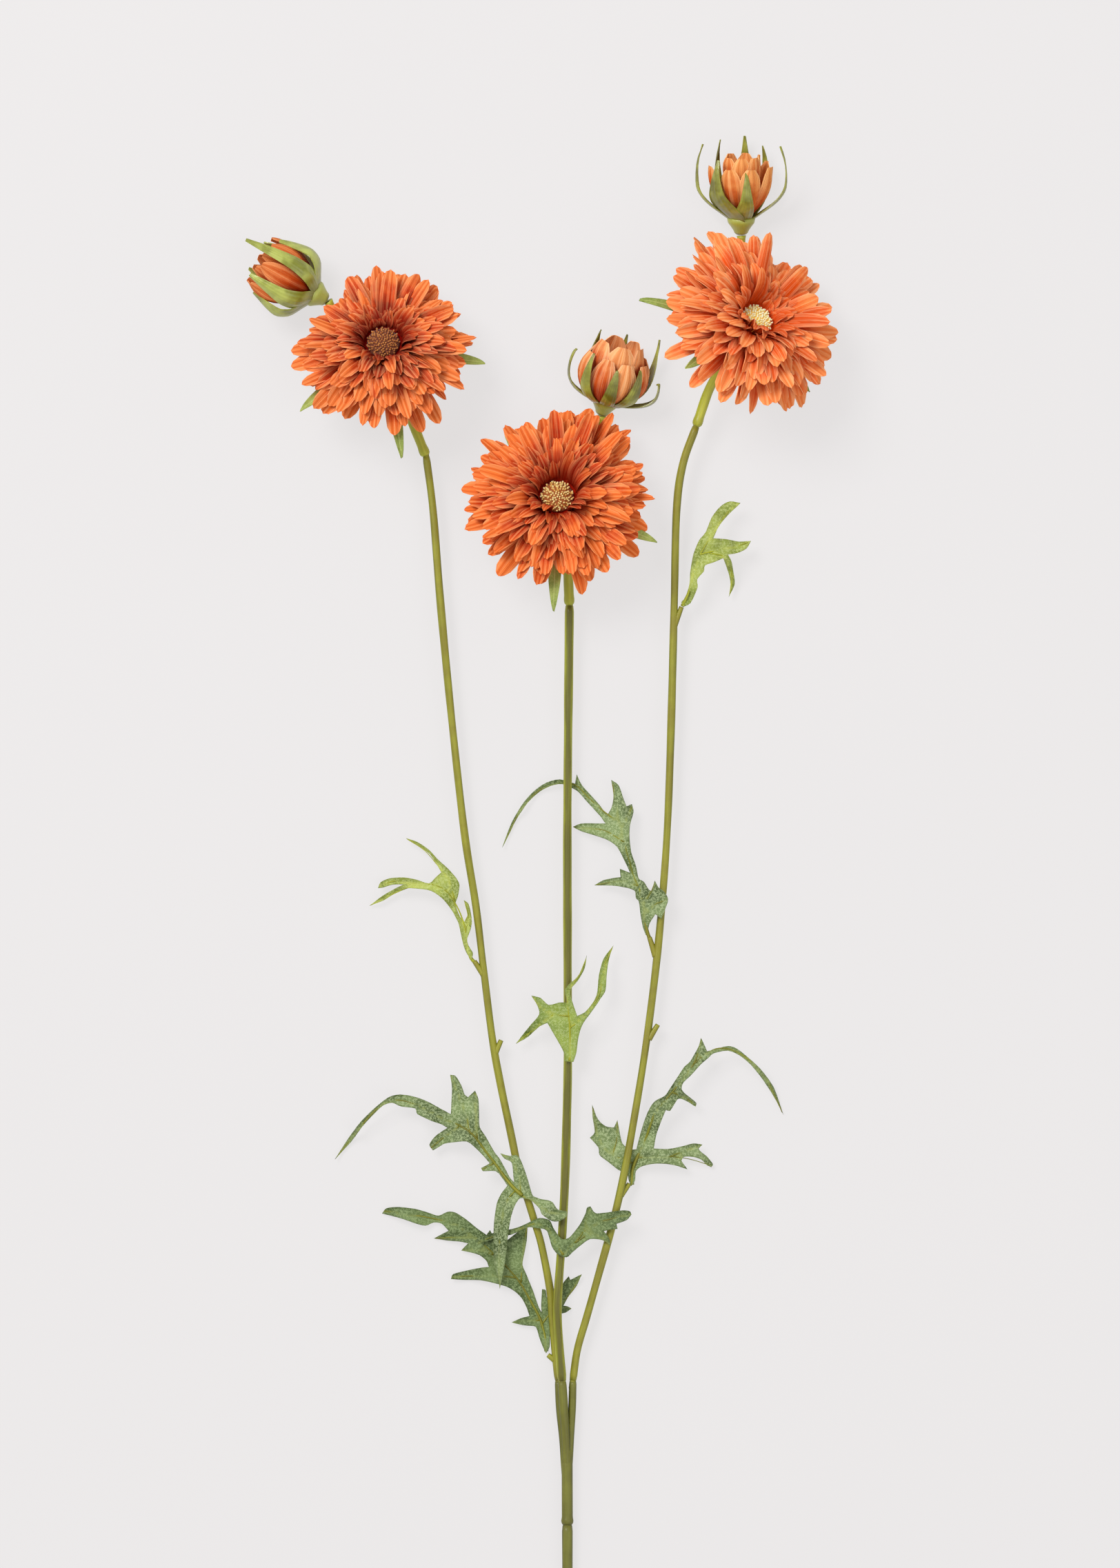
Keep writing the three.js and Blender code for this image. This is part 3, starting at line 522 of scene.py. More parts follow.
STAR_RADIUS = 7.6
STAR_HEIGHT = -1.25
# Places along a sepal: distance from the bloom's axis, height and half width.
SEPAL_STATIONS = [
    (7, -1.2, 2.2), (12, -1.3, 2.9), (20, -1.6, 3.1), (33, -2.2, 2.7), (42, -2.6, 1.5),
    (46, -2.8, 0.35),
]


def starched_cloth(name, under, over, rib, edge):
    """Starched, printed cloth: a fine weave, clouded dye, a paler rib and fine side veins."""
    finish, place, grain = new_finish(name)
    across, along, tone = grain.axes()
    cloud = place.noise(130, 4).ramp(0.32, 0.7)
    fleck = place.noise(1300, 2).ramp(0.44, 0.66)
    middle = 1 - across.absolute().ramp(0.0, 0.16)
    veins = (along * 62).sine()
    colour = (cloud * 0.75 + tone * 0.25).tint(under, over)
    colour = (fleck * 0.3).tint(colour, edge)
    colour = (middle * 0.6).tint(colour, rib)
    relief = place.weave(9000) * 0.3 + veins * 0.2 + middle * 0.8 + fleck * 0.4
    return coat_with(finish, {
        "Base Color": colour, "Roughness": 0.62 + fleck * 0.2, "Normal": relief.bump(0.35, 0.0003),
        "Sheen Weight": 0.15, "Sheen Roughness": 0.4,
    })


def add_lobe(work, across, along, place, tone):
    """One cut lobe: a grid that place(u, v) bends, with u from edge to edge and v to the tip."""
    grain = work.verts.layers.float_vector["grain"]
    made = bmesh.ops.create_grid(work, x_segments=across, y_segments=along, size=1)["verts"]
    for corner in made:
        u, v = corner.co.x, (corner.co.y + 1) / 2
        corner[grain] = (u, v, tone)
        corner.co = place(u, v)


def add_hub(work, sides, radius, height):
    """The round middle of a die-cut sheet."""
    bmesh.ops.create_circle(
        work, cap_ends=True, segments=sides, radius=radius,
        matrix=Matrix.Translation((0, 0, height)),
    )


def between(stations, v):
    """The values of a list of stations at a share of the way along it, on a smooth curve."""
    spans = len(stations) - 1
    at = min(v * spans, spans - 1e-6)
    i, t = int(at), at - int(at)
    four = (Vector(stations[min(max(k, 0), spans)]) for k in range(i - 1, i + 3))
    return spline(*four, t)


def station_lobe(stations, angle, out, lift, rng, cup, wave):
    """place(u, v) for a lobe whose stations give distance from the axis, height and half width."""
    root = stations[0][0]
    side = polar(1, angle + math.pi / 2)
    phase = rng.uniform(0, 6.28)

    def place(u, v):
        radius, height, half = between(stations, v)
        ahead = between(stations, min(v + 0.02, 1)) - between(stations, max(v - 0.02, 0))
        steep = math.atan2(ahead.y, ahead.x * out)
        normal = polar(-math.sin(steep), angle, math.cos(steep))
        reach = root + (radius - root) * out
        centre = polar(reach, angle, height + lift * v * v)
        raised = cup * half * u * u + wave * math.sin(9 * v + phase + 2 * u) * v
        crease = 0.25 * (1 - abs(u)) ** 3 * min(1, half)
        return centre + side * half * u + normal * (raised - crease)

    return place


SEPAL_CLOTH = starched_cloth(
    "sepal_starched_cloth", "768832", "b0ba60", "ccd082",
    "bec878",
)
rng = random.Random(11)
for side, bloom in BLOOMS.items():
    matrix = bloom_matrix(bloom)
    work = start_piece()
    add_hub(work, 30, STAR_RADIUS, STAR_HEIGHT)
    for angle, out, lift in bloom["sepals"]:
        turn = math.radians(angle)
        place = station_lobe(SEPAL_STATIONS, turn, out, lift, rng, cup=0.22, wave=0.5)
        add_lobe(work, 4, 14, place, tone=rng.random())
    bmesh.ops.transform(work, matrix=matrix, verts=work.verts)
    nodes = [f"bloom_{side}_sepals"]
    finish_piece(work, f"{side}_bloom_sepal_star", SEPAL_CLOTH, "sepal", nodes, thickness=0.4)

# ---- Bloom petals ----
# Six die-cut layers of dyed cloth on one pin make a bloom. Each petal is pressed into folds and
# curled by hand: the outer ones arch out and droop, and the inner ones stand up in a funnel.

LAYER_PITCH = 1.15
FIRST_FUNNEL_LAYER = 3
LAYER_TURN = 0.37
HUB_EDGE = 0.5
# From the outermost layer in: petals, reach as a share of the bloom's, radius of the root, slope
# in degrees at the root and at the tip, how late the petal turns from one to the other, and half
# width.
PETAL_LAYERS = [
    (23, 1.0, 5.5, 14, -18, 1.0, 3.6),
    (23, 0.93, 5.5, 27, -18, 1.0, 3.5),
    (22, 0.835, 6.0, 40, -18, 1.0, 3.4),
    (22, 0.715, 7.0, 52, -18, 1.1, 3.2),
    (20, 0.565, 8.2, 66, -22, 1.6, 2.8),
    (17, 0.4, 8.7, 80, -16, 2.4, 2.4),
]
# The two rows of a layer: half a petal apart, the second one shorter and steeper.
ROWS = [(0.0, 1.0, 0), (0.5, 0.935, 5)]


def dyed_cloth(name, deep, mid, light, pale, hub=0.0):
    """Petal cloth: deep at the root, paler to the tip, with painted shade at the hub and painted light
    and shade on its folds.
    """
    finish, place, grain = new_finish(name)
    across, along, tone = grain.axes()
    depth = grain.attribute("depth", "Fac")
    cloud = place.noise(160, 3).ramp(0.3, 0.72)
    fleck = place.noise(1500, 2)
    streak = grain.stretched(5.5, 0.7, 19).noise(1.6, 3).ramp(0.3, 0.72)
    folds = (across * 9.42).cosine()
    # Deep towards the root and the bloom's middle, light towards the tip: partly the cloth's two-tone
    # dye, partly painted shade down in the funnel. tone and cloud vary it at random.
    rise = (along * 0.55 + depth * 0.5 + tone * 0.42 + cloud * 0.24 - 0.5).ramp(0.0, 0.9)
    colour = rise.ramp(0.0, 0.5).tint(deep, mid)
    colour = rise.ramp(0.35, 1.0).tint(colour, light)
    # Painted highlight on the fold ridges.
    painted_light_mask = (folds * 0.5 + 0.5) * streak * along
    colour = (painted_light_mask * 0.6).tint(colour, pale)
    # Painted highlight along the edges towards the tip, with paler streaks of dye.
    rim = across.absolute().ramp(0.7, 1.0) * along
    colour = (rim * 0.5 + streak * along * 0.22).tint(colour, pale)
    # Painted shade in the fold valleys.
    colour = ((0.5 - folds * 0.5) * (1 - rim) * 0.3).tint(colour, deep)
    # hub is painted shade, deepest near the bloom's middle.
    colour = ((1 - depth.ramp(0.24, 0.46)) * hub).tint(colour, deep)
    veins = (across * 34).sine()
    relief = place.weave(8000) * 0.25 + veins * 0.35 + streak * 0.5 + fleck * 0.3
    return coat_with(finish, {
        "Base Color": colour, "Roughness": 0.66 + fleck * 0.22,
        "Normal": relief.bump(0.45, 0.00025),
        "Specular IOR Level": 0.05,
    })


BEND_FROM = 1.5
LOWEST = 0.45


def rest_on_board(work, matrix):
    """Puts a soft piece in its place, and bends whatever would sink flat along the surface."""
    bmesh.ops.transform(work, matrix=matrix, verts=work.verts)
    room = BEND_FROM - LOWEST
    for corner in work.verts:
        if corner.co.z < BEND_FROM:
            corner.co.z = LOWEST + room * math.exp((corner.co.z - BEND_FROM) / room)


ARC_STEPS = 24
FOLDS = 3
ROOT_WIDTH = 0.36
WIDEST_AT = 0.6
NARROWS_FROM = 0.7


def petal_place(layer, seat, angle, reach, steeper, rng):
    """place(u, v) for one petal that arcs out from the hub."""
    _, _, root_radius, root_slope, tip_slope, late, half = layer
    start = math.radians(root_slope + steeper + rng.uniform(-9, 9))
    end = math.radians(tip_slope + rng.uniform(-26, 30))
    turned = [(step / ARC_STEPS) ** late for step in range(ARC_STEPS + 1)]
    slopes = [start + (end - start) * share for share in turned]
    reach *= rng.uniform(0.94, 1.03)
    length = (reach - root_radius) * ARC_STEPS / sum(math.cos(slope) for slope in slopes)
    radii, heights = [root_radius], [seat]
    for slope in slopes:
        radii.append(radii[-1] + math.cos(slope) * length / ARC_STEPS)
        heights.append(heights[-1] + math.sin(slope) * length / ARC_STEPS)
    half *= rng.uniform(0.85, 1.1)
    bend = rng.uniform(-1, 1) * 0.08 * length
    twist = rng.uniform(-0.8, 0.8)
    cup = rng.uniform(-0.35, 0.5)
    crease = rng.uniform(0.2, 0.48)
    blunt = min(0.5, 5.5 / length)
    tooth = rng.uniform(0.05, 0.32) * min(1, length / 30)
    side = polar(1, angle + math.pi / 2)

    def place(u, v):
        # The end is blunt and round, with a tooth at each fold.
        pleat = math.cos(FOLDS * math.pi * u)
        end = 1 - blunt * (1 - math.sqrt(1 - 0.92 * u * u))
        end -= tooth * (1 - pleat) / length
        share = end * (1 - (1 - v) ** 1.2)
        swell = math.sin(min(share / WIDEST_AT, 1) * math.pi / 2) ** 1.2
        wide = half * (ROOT_WIDTH + (1 - ROOT_WIDTH) * swell)
        wide *= 1 - 0.25 * max(0, (share - NARROWS_FROM) / (1 - NARROWS_FROM)) ** 2
        at = share * ARC_STEPS
        low = min(int(at), ARC_STEPS - 1)
        slope = slopes[low]
        radius = radii[low] + (at - low) * (radii[low + 1] - radii[low])
        height = heights[low] + (at - low) * (heights[low + 1] - heights[low])
        folds = crease * pleat * math.sin(math.pi * min(1, share * 1.1))
        lateral, raised = wide * u, cup * wide * u * u + folds
        roll = twist * share
        lateral, raised = (
            lateral * math.cos(roll) - raised * math.sin(roll),
            lateral * math.sin(roll) + raised * math.cos(roll),
        )
        centre = polar(radius - raised * math.sin(slope), angle, height + raised * math.cos(slope))
        return centre + side * (lateral + bend * share * share)

    return place


# The last number of each is hub: how deep the painted shade lies near the bloom's middle, most in the
# left bloom.
PETAL_CLOTHS = {
    side: dyed_cloth(f"{side}_petal_cloth", *dyes, hub)
    for side, *dyes, hub in [
        ("left", "7c0600", "ce3600", "f2742c", "ffbc84", 0.62),
        ("middle", "961400", "ce3600", "f27026", "ffb87c", 0.42),
        ("right", "d24402", "e45008", "fe8e46", "ffc894", 0.3),
    ]
}
rng = random.Random(5)
for side, bloom in BLOOMS.items():
    matrix = bloom_matrix(bloom)
    for order, layer in enumerate(PETAL_LAYERS):
        count, share = layer[0], layer[1]
        work = start_piece()
        depth = work.verts.layers.float.new("depth")
        seat = order * LAYER_PITCH
        add_hub(work, 2 * count, layer[2] + HUB_EDGE, seat)
        for shift, shorter, steeper in ROWS:
            for number in range(count):
                spot = number + shift + rng.uniform(-0.26, 0.26)
                angle = order * LAYER_TURN + 2 * math.pi * spot / count
                reach = bloom["reach"] * share * shorter
                inner = order >= FIRST_FUNNEL_LAYER
                uneven = bloom["lean"] + ([bloom["funnel"]] if inner else [])
                for heading, spread, longer in uneven:
                    away = math.remainder(angle - math.radians(heading), 2 * math.pi)
                    reach *= 1 + longer * math.exp(-((away / math.radians(spread)) ** 2))
                place = petal_place(layer, seat, angle, reach, steeper, rng)
                add_lobe(work, 6, 8, place, tone=rng.random())
        for corner in work.verts:
            corner[depth] = math.hypot(corner.co.x, corner.co.y) / bloom["reach"]
        rest_on_board(work, matrix)
        name = f"{side}_bloom_petal_layer_{order + 1}"
        nodes = [f"bloom_{side}_petals_{order + 1}"]
        finish_piece(work, name, PETAL_CLOTHS[side], "petal", nodes, thickness=0.22)

# ---- Bloom discs ----
# The eye of a bloom is a domed button flocked with short moulded stamens, on the pin that strings
# the layers together.

DISC_TOP = 6.3
PIN_PROFILE = [
    [0, -1.5], [1.9, -1.5], [1.9, DISC_TOP], [7.0, DISC_TOP], [7.1, DISC_TOP + 0.5],
    [6.0, DISC_TOP + 1.4], [3.6, DISC_TOP + 2.1], [0, DISC_TOP + 2.4],
]
STAMENS = 130
GOLDEN_ANGLE = 2.39996
BUTTON_RADIUS = 6.9


def flocked_button(name, shade, body, tip):
    finish, place, grain = new_finish(name)
    _, height, tone = grain.axes()
    cloud = place.noise(500, 3).ramp(0.35, 0.7)
    fleck = place.noise(2500, 2)
    colour = (height.ramp(0.1, 0.8)).tint(shade, body)
    colour = (height.ramp(0.5, 1.0) * (tone * 0.8 + cloud * 0.4)).tint(colour, tip)
    return coat_with(finish, {
        "Base Color": colour, "Roughness": 0.6 + fleck * 0.3, "Normal": fleck.bump(0.5, 0.0002),
        "Sheen Weight": 0.2,
    })


# One flock in three copies, painted for the light each eye gets: the left one in painted shade, the
# middle one part way, and the right one lit. Part of the difference is the flocks' own colour.
DISC_FINISHES = {
    "left": flocked_button("flock_painted_in_shade", "642802", "9c4e0e", "be7a32"),
    "middle": flocked_button("flock_painted_in_half_shade", "924604", "da9e32", "fff0a6"),
    "right": flocked_button(
        "cream_flock", "f6c450", "fff8aa", "ffffe0"
    ),
}
rng = random.Random(23)
for side, bloom in BLOOMS.items():
    work = start_piece()
    add_turned(work, PIN_PROFILE, Matrix.Identity(4), steps=24)
    grain = work.verts.layers.float_vector["grain"]
    for corner in work.verts:
        corner[grain] = (0, 0.15, rng.random())
    for number in range(STAMENS):
        spread = math.sqrt((number + 0.5) / STAMENS)
        turn = number * GOLDEN_ANGLE + rng.uniform(-0.15, 0.15)
        lean = spread * rng.uniform(0.6, 0.95)
        dome = 1.8 * math.sqrt(1 - 0.93 * spread ** 2)
        foot = polar(BUTTON_RADIUS * spread, turn, DISC_TOP + 0.5 + dome)
        made = bmesh.ops.create_cone(
            work, cap_ends=True, segments=5, radius1=0.3, radius2=0.42,
            depth=rng.uniform(1.0, 1.9),
        )["verts"]
        tone = rng.random()
        for corner in made:
            corner[grain] = (0, 0.35 if corner.co.z < 0 else 1.0, tone)
        aim = polar(math.sin(lean), turn, math.cos(lean)).to_track_quat("Z", "Y").to_matrix()
        bmesh.ops.transform(work, matrix=Matrix.Translation(foot) @ aim.to_4x4(), verts=made)
    bmesh.ops.transform(work, matrix=bloom_matrix(bloom), verts=work.verts)
    finish_piece(work, f"{side}_bloom_eye", DISC_FINISHES[side], "disc", [f"bloom_{side}_disc"])

# ---- Bud stems ----
# Thin rods of the neck plastic, bent by hand. Each is run into a bloom's neck behind the bloom,
# comes out under its rim and carries a bud.

BUD_STEM_RADIUS = 1.5
# Of each bud: its base and axis, its stem's route, its sepals as angle, reach, lift and width, and
# the angles of the petals in its two whorls.
BUDS = {
    "left": {
        "base": (-104.6, 631.6, 9.9), "axis": (-0.87, 0.48, 0.17),
        "stem": [
            [-71.4, 588.2, 8.4], [-74.6, 590.4, 3.4], [-84, 602, 2.6], [-96, 619, 5],
            [-103.8, 631.1, 9.7],
        ],
        "sepals": [
            [12, 1, -9, 1.3], [57, 0.95, -3, 1], [115, 1, 6, 0.8], [163, 1, -8, 1.4],
            [222, 0.9, -4, 1], [290, 0.9, -4, 1],
        ],
        "outer": [33, 86, 139, 192, 254, 322],
        "inner": [0, 62, 125, 190, 245, 300],
    },
    "middle": {
        "base": (15.2, 582.2, 6.3), "axis": (0.27, 0.94, 0.3),
        "stem": [[-0.8, 524.2, 8.7], [2.4, 526, 3.4], [8, 545, 2], [13, 567, 2.4], [15, 581.3, 6]],
        "sepals": [
            [12, 1.05, -8, 0.8], [55, 1, -5, 0.9], [95, 0.93, -9, 0.9], [130, 0.95, -7, 1.1],
            [172, 1.15, -14, 1.1], [207, 0.95, 3, 1.2], [265, 0.66, 0, 1], [320, 0.7, 0, 1],
        ],
        "outer": [32, 76, 112, 152, 206, 264, 325],
        "inner": [36, 100, 162, 225, 295],
    },
    "right": {
        "base": (75.8, 660.6, 7.4), "axis": (0, 0.97, 0.24),
        "stem": [
            [66, 599, 14.6], [73, 603, 6.6], [76.4, 620, 5], [76.6, 645, 5.4], [75.9, 659.7, 7.2],
        ],
        "sepals": [
            [8, 1.08, 0, 0.8], [42, 0.8, -6, 2.2], [98, 0.8, -10, 1.2], [172, 1.08, -1, 0.8],
            [226, 0.8, -3, 1.2], [262, 0.62, 1, 1.7], [318, 0.7, 0, 1.2],
        ],
        "outer": [16, 68, 106, 152, 212, 282],
        "inner": [42, 90, 138, 190, 250, 315],
    },
}


def bud_stem_radius(distance, length, angle):
    """Swells a little where it enters the cup."""
    return BUD_STEM_RADIUS + 0.6 * math.exp(-(length - distance) / 1.6)


for side, bud in BUDS.items():
    work = start_piece()
    add_rod(work, bud["stem"], bud_stem_radius, spacing=1.4, sides=14, seed=60)
    finish_piece(work, f"{side}_bud_rod", NECK_GREEN, "neck", [f"bud_{side}_stem"])

# ---- Bud cups and sepals ----
# Each bud sits in a cup of glossy green plastic, moulded with its sepals. The left one has six
# broad ones, the middle one eight that hug the bud, and the right one seven that arch out and in
# again.

BUD_CUP = [
    [0, 0], [2.2, 0], [2.8, 0.6], [3.2, 1.6], [4.4, 3.4], [5.6, 5], [6, 7], [5, 7.4], [0, 7.4],
]
# Places along a sepal: distance from the bud's axis, height and half width.
SLIM_SEPALS = [
    (3.6, 5.6, 2.4), (8, 9, 3.3), (13.4, 13.5, 3.2), (16.8, 18, 2.6), (18.4, 23, 2.0),
    (18.2, 32, 1.0), (16, 40, 0.25),
]
HUGGING_SEPALS = [
    (3.6, 5.2, 2.4), (9, 6.6, 3.2), (15, 10.4, 3.4), (18.4, 16, 2.9), (19.2, 23, 2.1),
    (18.6, 30, 1.0), (17.8, 34, 0.25),
]
BROAD_SEPALS = [
    (3.6, 5.2, 3), (8, 8, 4.4), (13.5, 12, 4.8), (16, 17, 4.4), (16.6, 22, 3.8), (15, 31, 2.4),
    (13, 39, 0.7),
]


def glossy_green(name, under, over, blush):
    """Glossy moulded green with a clouded dye and fine ribs along each lobe."""
    finish, place, grain = new_finish(name)
    across, along, tone = grain.axes()
    cloud = place.noise(110, 3).ramp(0.34, 0.68)
    ribs = (across * 16).sine()
    colour = (cloud * 0.8 + tone * 0.2).tint(under, over)
    colour = ((1 - along.ramp(0.0, 0.35)) * 0.5).tint(colour, blush)
    return coat_with(finish, {
        "Base Color": colour, "Roughness": 0.3 + cloud * 0.16,
        "Normal": (ribs * 0.4 + cloud).bump(0.3, 0.0004),
        "Specular IOR Level": 0.6, "Coat Weight": 0.25,
    })


def bud_matrix(bud):
    forward = Vector(bud["axis"]).normalized()
    across = UP.cross(forward).normalized()
    over = forward.cross(across)
    basis = Matrix((across, over, forward)).transposed()
    return Matrix.Translation(bud["base"]) @ basis.to_4x4()


CAGE_GREEN = glossy_green(
    "glossy_cage_green", "767a1e", "b4bc58", "7e8014"
)
BUD_GREEN = glossy_green("bud_sepal_green", "625e10", "a4a842", "8a8818")
BUD_SEPALS = {
    "left": (BROAD_SEPALS, 0.3, CAGE_GREEN),
    "middle": (HUGGING_SEPALS, 0.2, BUD_GREEN),
    "right": (SLIM_SEPALS, 0.2, BUD_GREEN),
}
rng = random.Random(31)
for side, bud in BUDS.items():
    stations, cup, finish = BUD_SEPALS[side]
    work = start_piece()
    add_turned(work, BUD_CUP, Matrix.Identity(4), steps=28)
    for angle, out, lift, wider in bud["sepals"]:
        shape = [(radius, height, half * wider) for radius, height, half in stations]
        place = station_lobe(shape, math.radians(angle), out, lift, rng, cup, wave=0.3)
        add_lobe(work, 4, 16, place, tone=rng.random())
    rest_on_board(work, bud_matrix(bud))
    nodes = [f"bud_{side}_calyx"]
    finish_piece(work, f"{side}_bud_cup", finish, "bud_calyx", nodes, thickness=0.45)

# ---- Bud petals ----
# Each bud has two whorls of petals in dyed cloth, mostly paler than the blooms. Each whorl is cut
# in one, threaded on the cup, and cupped and closed by hand.

# Places along a petal: distance from the bud's axis, height and half width.
BUD_PETALS = {
    "left": {
        "outer": [
            (3, 7.6, 2.2), (7, 10.6, 3.6), (10.4, 14.5, 4.6), (13.2, 20, 4.9), (14, 25, 4.6),
            (13.4, 30, 3.6), (12.2, 33.6, 1.5),
        ],
        "inner": [
            (2.4, 9, 2), (4.4, 13, 3.2), (6.2, 17, 4), (8, 24, 4.4), (7.8, 30, 3.8),
            (6.4, 34.6, 1.2),
        ],
    },
    "middle": {
        "outer": [
            (3, 6, 2.6), (9, 7.6, 4.6), (13.6, 11.4, 5.6), (16.4, 17, 5.8), (16.2, 23, 5),
            (14, 27.6, 2.4),
        ],
        "inner": [
            (2.4, 9, 2.4), (6.6, 13, 5), (10.6, 19, 7), (11.8, 25, 7.2), (11, 30, 5.8),
            (9.6, 33.6, 2.8),
        ],
    },
    "right": {
        "outer": [
            (3, 7.6, 2.2), (7, 11, 3.8), (11, 16, 4.8), (13.6, 22, 4.9), (14.4, 27, 4.1),
            (14.6, 30.6, 1.8),
        ],
        "inner": [
            (2.4, 9, 2), (4.4, 14, 3.4), (6.6, 20, 4.6), (8, 26, 4.8), (8.4, 31, 4), (8, 34.4, 1.7),
        ],
    },
}
BUD_CLOTHS = {
    side: dyed_cloth(f"{side}_bud_dyed_cloth", *dyes)
    for side, *dyes in [
        ("left", "961e00", "be440a", "d67034", "f4ac76"),
        ("middle", "a42e00", "d45816", "f29e5c", "ffd6a6"),
        ("right", "a43200", "d65e16", "f0984e", "ffd092"),
    ]
}
FLATTER_BELOW = 0.3
PETAL_RISE = 26
WHORL_EDGE = 0.8
rng = random.Random(43)
for side, bud in BUDS.items():
    for whorl in ["outer", "inner"]:
        stations = BUD_PETALS[side][whorl]
        work = start_piece()
        depth = work.verts.layers.float.new("depth")
        height = stations[0][1]
        add_hub(work, 24, stations[0][0] + WHORL_EDGE, height)
        for angle in bud[whorl]:
            turn = math.radians(angle)
            under = max(0, -math.sin(turn))
            out = 1 - FLATTER_BELOW * under * under
            place = station_lobe(stations, turn, out, 0, rng, cup=0.34, wave=0.35)
            add_lobe(work, 6, 12, place, tone=rng.random())
        for corner in work.verts:
            corner[depth] = 0.4 + 0.6 * (corner.co.z - height) / PETAL_RISE
        rest_on_board(work, bud_matrix(bud))
        name = f"{side}_bud_{whorl}_petal_whorl"
        nodes = [f"bud_{side}_{whorl}_petals"]
        finish_piece(work, name, BUD_CLOTHS[side], "bud_petal", nodes, thickness=0.3)

# ---- Leaves ----
# Deeply cut leaves of printed green cloth. Each is glued to a moulded rib that runs up its middle
# and down into a foot, which plugs on to a stub or clips round the branch. The edges curl.

def printed_leaf(name, under, over, rib, pale, dark):
    """Printed leaf cloth: flecked and clouded, with paler ribs and a darker edge."""
    finish, place, grain = new_finish(name)
    away, edge, tone = grain.axes()
    cloud = place.noise(60, 4).ramp(0.34, 0.68)
    fleck = place.noise(1100, 2, 0.7).ramp(0.42, 0.62)
    vein = 1 - away.ramp(0.15, 1.1)
    branching = (away * 3.4 + tone * 5 + cloud * 2).sine()
    colour = cloud.tint(under, over)
    colour = (fleck * 0.58).tint(colour, pale)
    colour = ((1 - edge.ramp(0.0, 0.9)) * 0.35).tint(colour, dark)
    colour = (vein * 0.55).tint(colour, rib)
    relief = place.weave(7000) * 0.3 + fleck * 0.5 + vein * -0.8 + branching * 0.25
    return coat_with(finish, {
        "Base Color": colour, "Roughness": 0.6 + fleck * 0.22, "Normal": relief.bump(0.4, 0.0003),
        "Sheen Weight": 0.12, "Sheen Roughness": 0.4,
    })


LEAF_CLOTHS = {
    name: (printed_leaf(f"{name}_leaf_cloth", *colours), slot)
    for name, slot, *colours in [
        ("light", "leaf_light", "748426", "a6b24e", "c0c65c", "c4ce88", "6c741e"),
        ("mid", "leaf_light", "5c741e", "90a240", "acb04c", "b0be7e", "58641a"),
        ("grey", "leaf_grey", "425422", "7c9056", "929c50", "b6c494", "44521e"),
        ("dark", "leaf_grey", "425622", "6e8248", "848e46", "98aa76", "364416"),
    ]
}
